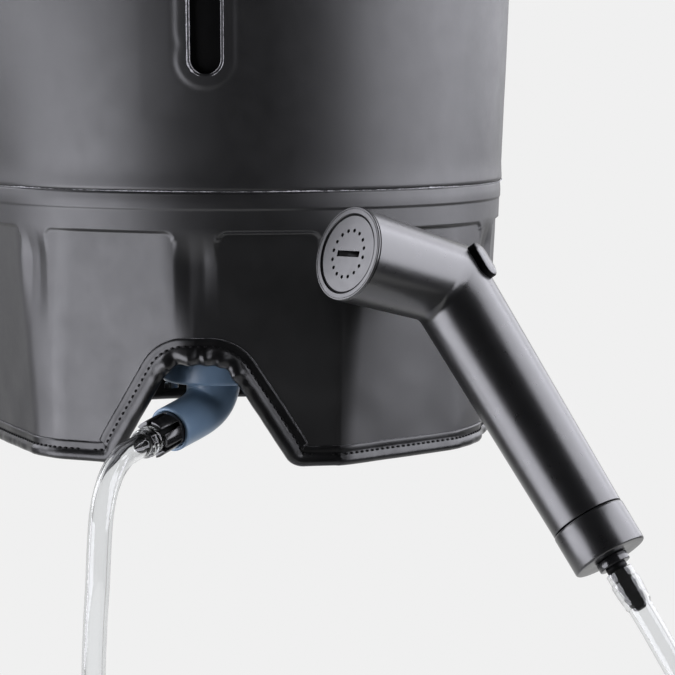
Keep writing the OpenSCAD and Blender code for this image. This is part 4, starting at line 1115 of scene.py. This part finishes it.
def make_handset_trim():
    low, high = BEZEL_T - LIP_T, BEZEL_T
    ring = [(RING_R, 0), (RING_R + 0.3, 0), (RING_R + 0.3, low), (FACE_R - 0.3, low), (FACE_R, low + 0.25),
            (FACE_R, high - 0.35), (FACE_R - 0.3, high), (FACE_R - 0.7, high), (FACE_R - 0.8, high - 0.25),
            (FACE_R - 0.95, high - 0.25), (FACE_R - 1.05, high), (RING_R + 0.3, high), (RING_R, high - 0.35)]
    face = lathe("face_ring", ring, head_place(HEAD_L - BEZEL_T), CHARCOAL, SHELL_SIDES)
    face.data.set_sharp_from_angle(angle=SHADE_ANGLE)
    put(face, "handset", "charcoal_plastic", "spray_bezel")
    plate_top = head_place(HEAD_L - PLATE_IN)
    # Near-black ring laid over the groove between plate and bezel, just above the plate's rim: painted shade that
    # makes the groove read dark all round.
    gap = [(PLATE_R - 0.25, 0.02), (PLATE_R + 0.04, 0.02), (PLATE_R + 0.04, -1.2), (RING_R - 0.02, -1.2),
           (RING_R - 0.02, 0.06), (PLATE_R - 0.25, 0.06)]
    put(lathe("face_groove_painted_shade", gap, plate_top, MATT, SHELL_SIDES), "handset", "black_fitting")
    # A near-black plate just over the spray slot's floor is painted shade, so the slot reads dark inside.
    turned = plate_top @ Matrix.Rotation(SPRAY_SLOT_A, 4, "Z")
    x, y = SPRAY_SLOT_L / 2 - 0.03, SPRAY_SLOT_W / 2 - 0.03
    floor = [[turned @ (Vector((a, b, -z)) * MM) for a, b in ((-x, -y), (x, -y), (x, y), (-x, y))]
             for z in (SPRAY_SLOT_D - 0.02, SPRAY_SLOT_D - 1.4)]
    put(mesh_object("spray_slot_painted_shade", *strip(np.array(floor)), MATT), "spray_face", "black_fitting")
    low, shoulder, plug = -GRIP_L - COLLAR_L, -GRIP_L - 0.45, -GRIP_L + 7.5
    outline = [(5.6, low), (GRIP_R + 0.2, low), (GRIP_R + 0.3, shoulder), (GRIP_R - 2.8, shoulder),
               (GRIP_R - 2.8, plug), (GRIP_R - 5.8, plug), (GRIP_R - 5.8, low + 3), (5.6, low + 3)]
    collar = lathe("grip_end", rounded(outline, 1.0), HANDSET, CHARCOAL, SHELL_SIDES)
    put(collar, "handset", "charcoal_plastic", "end_collar")


def button_place():
    """Place on the elbow with its Z axis out of the button's face."""
    out = -PRESS_WAY
    turn = Matrix((HANDLE_WAY.cross(out), HANDLE_WAY, out)).transposed().to_4x4()
    return Matrix.Translation(ELBOW + HANDLE_WAY * -BUTTON_AT * MM) @ turn


def make_button():
    """Oblong button with a slightly crowned face, whose sides take a near-black finish as painted shade."""
    place = button_place()
    radius, run = BUTTON_W / 2, (BUTTON_L - BUTTON_W) / 2
    rows = []
    top = ELBOW_R + BUTTON_UP
    for inset, up in ((0, ELBOW_R - 3.8), (0, top - 1.7), (0.12, top - 1.3), (0.45, top - 1),
                      (1.2, top - 0.6), (2.2, top - 0.2), (3.4, top)):
        row, r = [], radius - inset
        for k in range(BUTTON_SIDES):
            q = 2 * math.pi * (k + 0.5) / BUTTON_SIDES
            y = run if math.sin(q) > 0 else -run
            row.append(tuple(place @ (Vector((r * math.cos(q), y + r * math.sin(q), up)) * MM)))
        rows.append(row)
    # The sides take the near-black finish as painted shade; faces turned out along the press take the charcoal
    # one.
    cap = mesh_object("button_cap", *strip(np.array(rows)), MATT)
    cap.data.materials.append(CHARCOAL)
    for face in cap.data.polygons:
        face.material_index = int(face.normal.dot(-PRESS_WAY) > BUTTON_SHADED_SIDE_COS)
    cap.data.set_sharp_from_angle(angle=SHADE_ANGLE)
    put(cap, "button", "charcoal_plastic", "flow_button")


make_handset_shell()
make_handset_trim()
make_button()

# Outlet under the tank, and the fittings that hold the hose's two ends

SOCKET_R = 9.75
SOCKET_BORE = 8.1
SOCKET_L = 14
ELBOW_L = 36
FLANGE_R = 24
FLANGE_SIDES = 96
FLANGE_BACK = 4
FLANGE_RISE = 2.6
PIPE_SIDES = 64
PIPE_FRONT = 7
PIPE_R = 11.5
STEM_R = BARB_R + 0.8
BARB_SIDES = 48


def axis_place(at, way):
    """Place at a point with its Z axis along a direction."""
    return Matrix.Translation(at) @ way.to_track_quat("Z", "Y").to_matrix().to_4x4()


def bezier(a, b, c, d, count):
    """Points of the curve from a to d that leaves towards b and comes in from c."""
    t = np.linspace(0, 1, count)[:, None]
    a, b, c, d = (np.array(p) for p in (a, b, c, d))
    return a * (1 - t) ** 3 + 3 * b * t * (1 - t) ** 2 + 3 * c * t ** 2 * (1 - t) + d * t ** 3


def make_outlet():
    """Flange under the tank with a pipe that bends from straight down to the socket's mouth."""
    elbow = OUTLET - OUTLET_WAY * ELBOW_L * MM
    flange_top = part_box("outlet_elbow")[1].z
    flange_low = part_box("flange_screws")[0].z + FLANGE_RISE * MM
    up = Vector((0, 0, MM))
    start = Vector((elbow.x, elbow.y - PIPE_FRONT * MM, flange_low)) + up * 3
    path = bezier(start, start - up * 15, OUTLET - OUTLET_WAY * 22 * MM, OUTLET - OUTLET_WAY * 0.6 * MM, 40)
    below = np.maximum(start.z - path[:, 2], 0) / MM
    radii = mix(PIPE_R, SOCKET_R, step(below, 3, 20)) * MM
    rings = list(swept_rings(path, radii, PIPE_SIDES))
    u, v = (w[-1] for w in path_frames(path))
    q = circle(PIPE_SIDES)[:, None]
    for r, along in ((SOCKET_R - 0.15, -0.25), (SOCKET_R - 0.5, 0), (SOCKET_BORE + 0.4, 0),
                     (SOCKET_BORE + 0.08, -0.3), (SOCKET_BORE, -1), (SOCKET_BORE, -SOCKET_L)):
        rings.append(np.array(OUTLET + OUTLET_WAY * along * MM) + (np.cos(q) * u + np.sin(q) * v) * r * MM)
    put(mesh_object("outlet_bend", *strip(np.array(rings)), BLUE), "tank", "blue_plastic", "outlet_elbow")
    low, high = (z / MM for z in (flange_low, flange_top))
    outline = rounded([(0, low), (FLANGE_R, low), (FLANGE_R, high), (0, high)], 1.6)
    centre = Matrix.Translation((elbow.x, elbow.y + FLANGE_BACK * MM, 0))
    put(lathe("outlet_flange", outline, centre, BLUE, FLANGE_SIDES), "tank", "blue_plastic")


def barb_outline(start, stop, tip, stem):
    """Stem with its ridges and a thin tip, as an outline along the hose's way."""
    outline = [(0, stem), (STEM_R, stem), (STEM_R, start - 0.5), (BARB_R, start)]
    pitch = (stop - start - 1) / BARB_RIDGES
    for k in range(BARB_RIDGES):
        at = start + 0.5 + k * pitch
        outline += [(BARB_R, at), (BARB_R + 0.5, at + 0.3 * pitch), (BARB_R, at + 0.95 * pitch)]
    return outline + [(BARB_R - 0.6, stop), (BARB_R - 0.7, tip - 0.6), (BARB_R - 1.4, tip), (0, tip)]


def make_fittings():
    outlet = axis_place(OUTLET, OUTLET_WAY)
    shower = axis_place(ELBOW, HANDLE_WAY)
    softened("connector_collar", 0.35)
    outline = barb_outline(HOSE_FROM, BARB_TIP, BARB_TIP + 2, -9)
    put(lathe("outlet_barb", outline, outlet, MATT, BARB_SIDES), "tank", "black_fitting", "hose_barb")
    end = GRIP_L + COLLAR_L
    nut = [(0, end - 4), (5.4, end - 4), (5.4, end), (6.75, end + 0.2), (6.75, end + 3.8), (0, end + 3.8)]
    put(lathe("inlet_nut", rounded(nut, 0.5), shower, GLOSS, BARB_SIDES), "handset", "black_fitting")
    outline = barb_outline(SHOWER_FROM - 0.4, SHOWER_TIP - 2, SHOWER_TIP, end + 3)
    put(lathe("inlet_stem", outline, shower, MATT, BARB_SIDES), "handset", "black_fitting", "inlet_barb")


make_outlet()
make_fittings()

# Edges of the other hard pieces, and the springs, left sharp, each with its own mesh

for node, width in (("pump_cap", 0.5), ("pump_handle", 0.8), ("rod_guide", 0.6), ("shoulder_ring", 0.8),
                    ("relief_body", 0.5), ("relief_knob", 0.5), ("handset_dock", 0.6)):
    softened(node, width)
for node, joint in (("relief_spring", "relief_lift"), ("valve_spring", "button_press")):
    spring = softened(node, 0)
    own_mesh(spring)
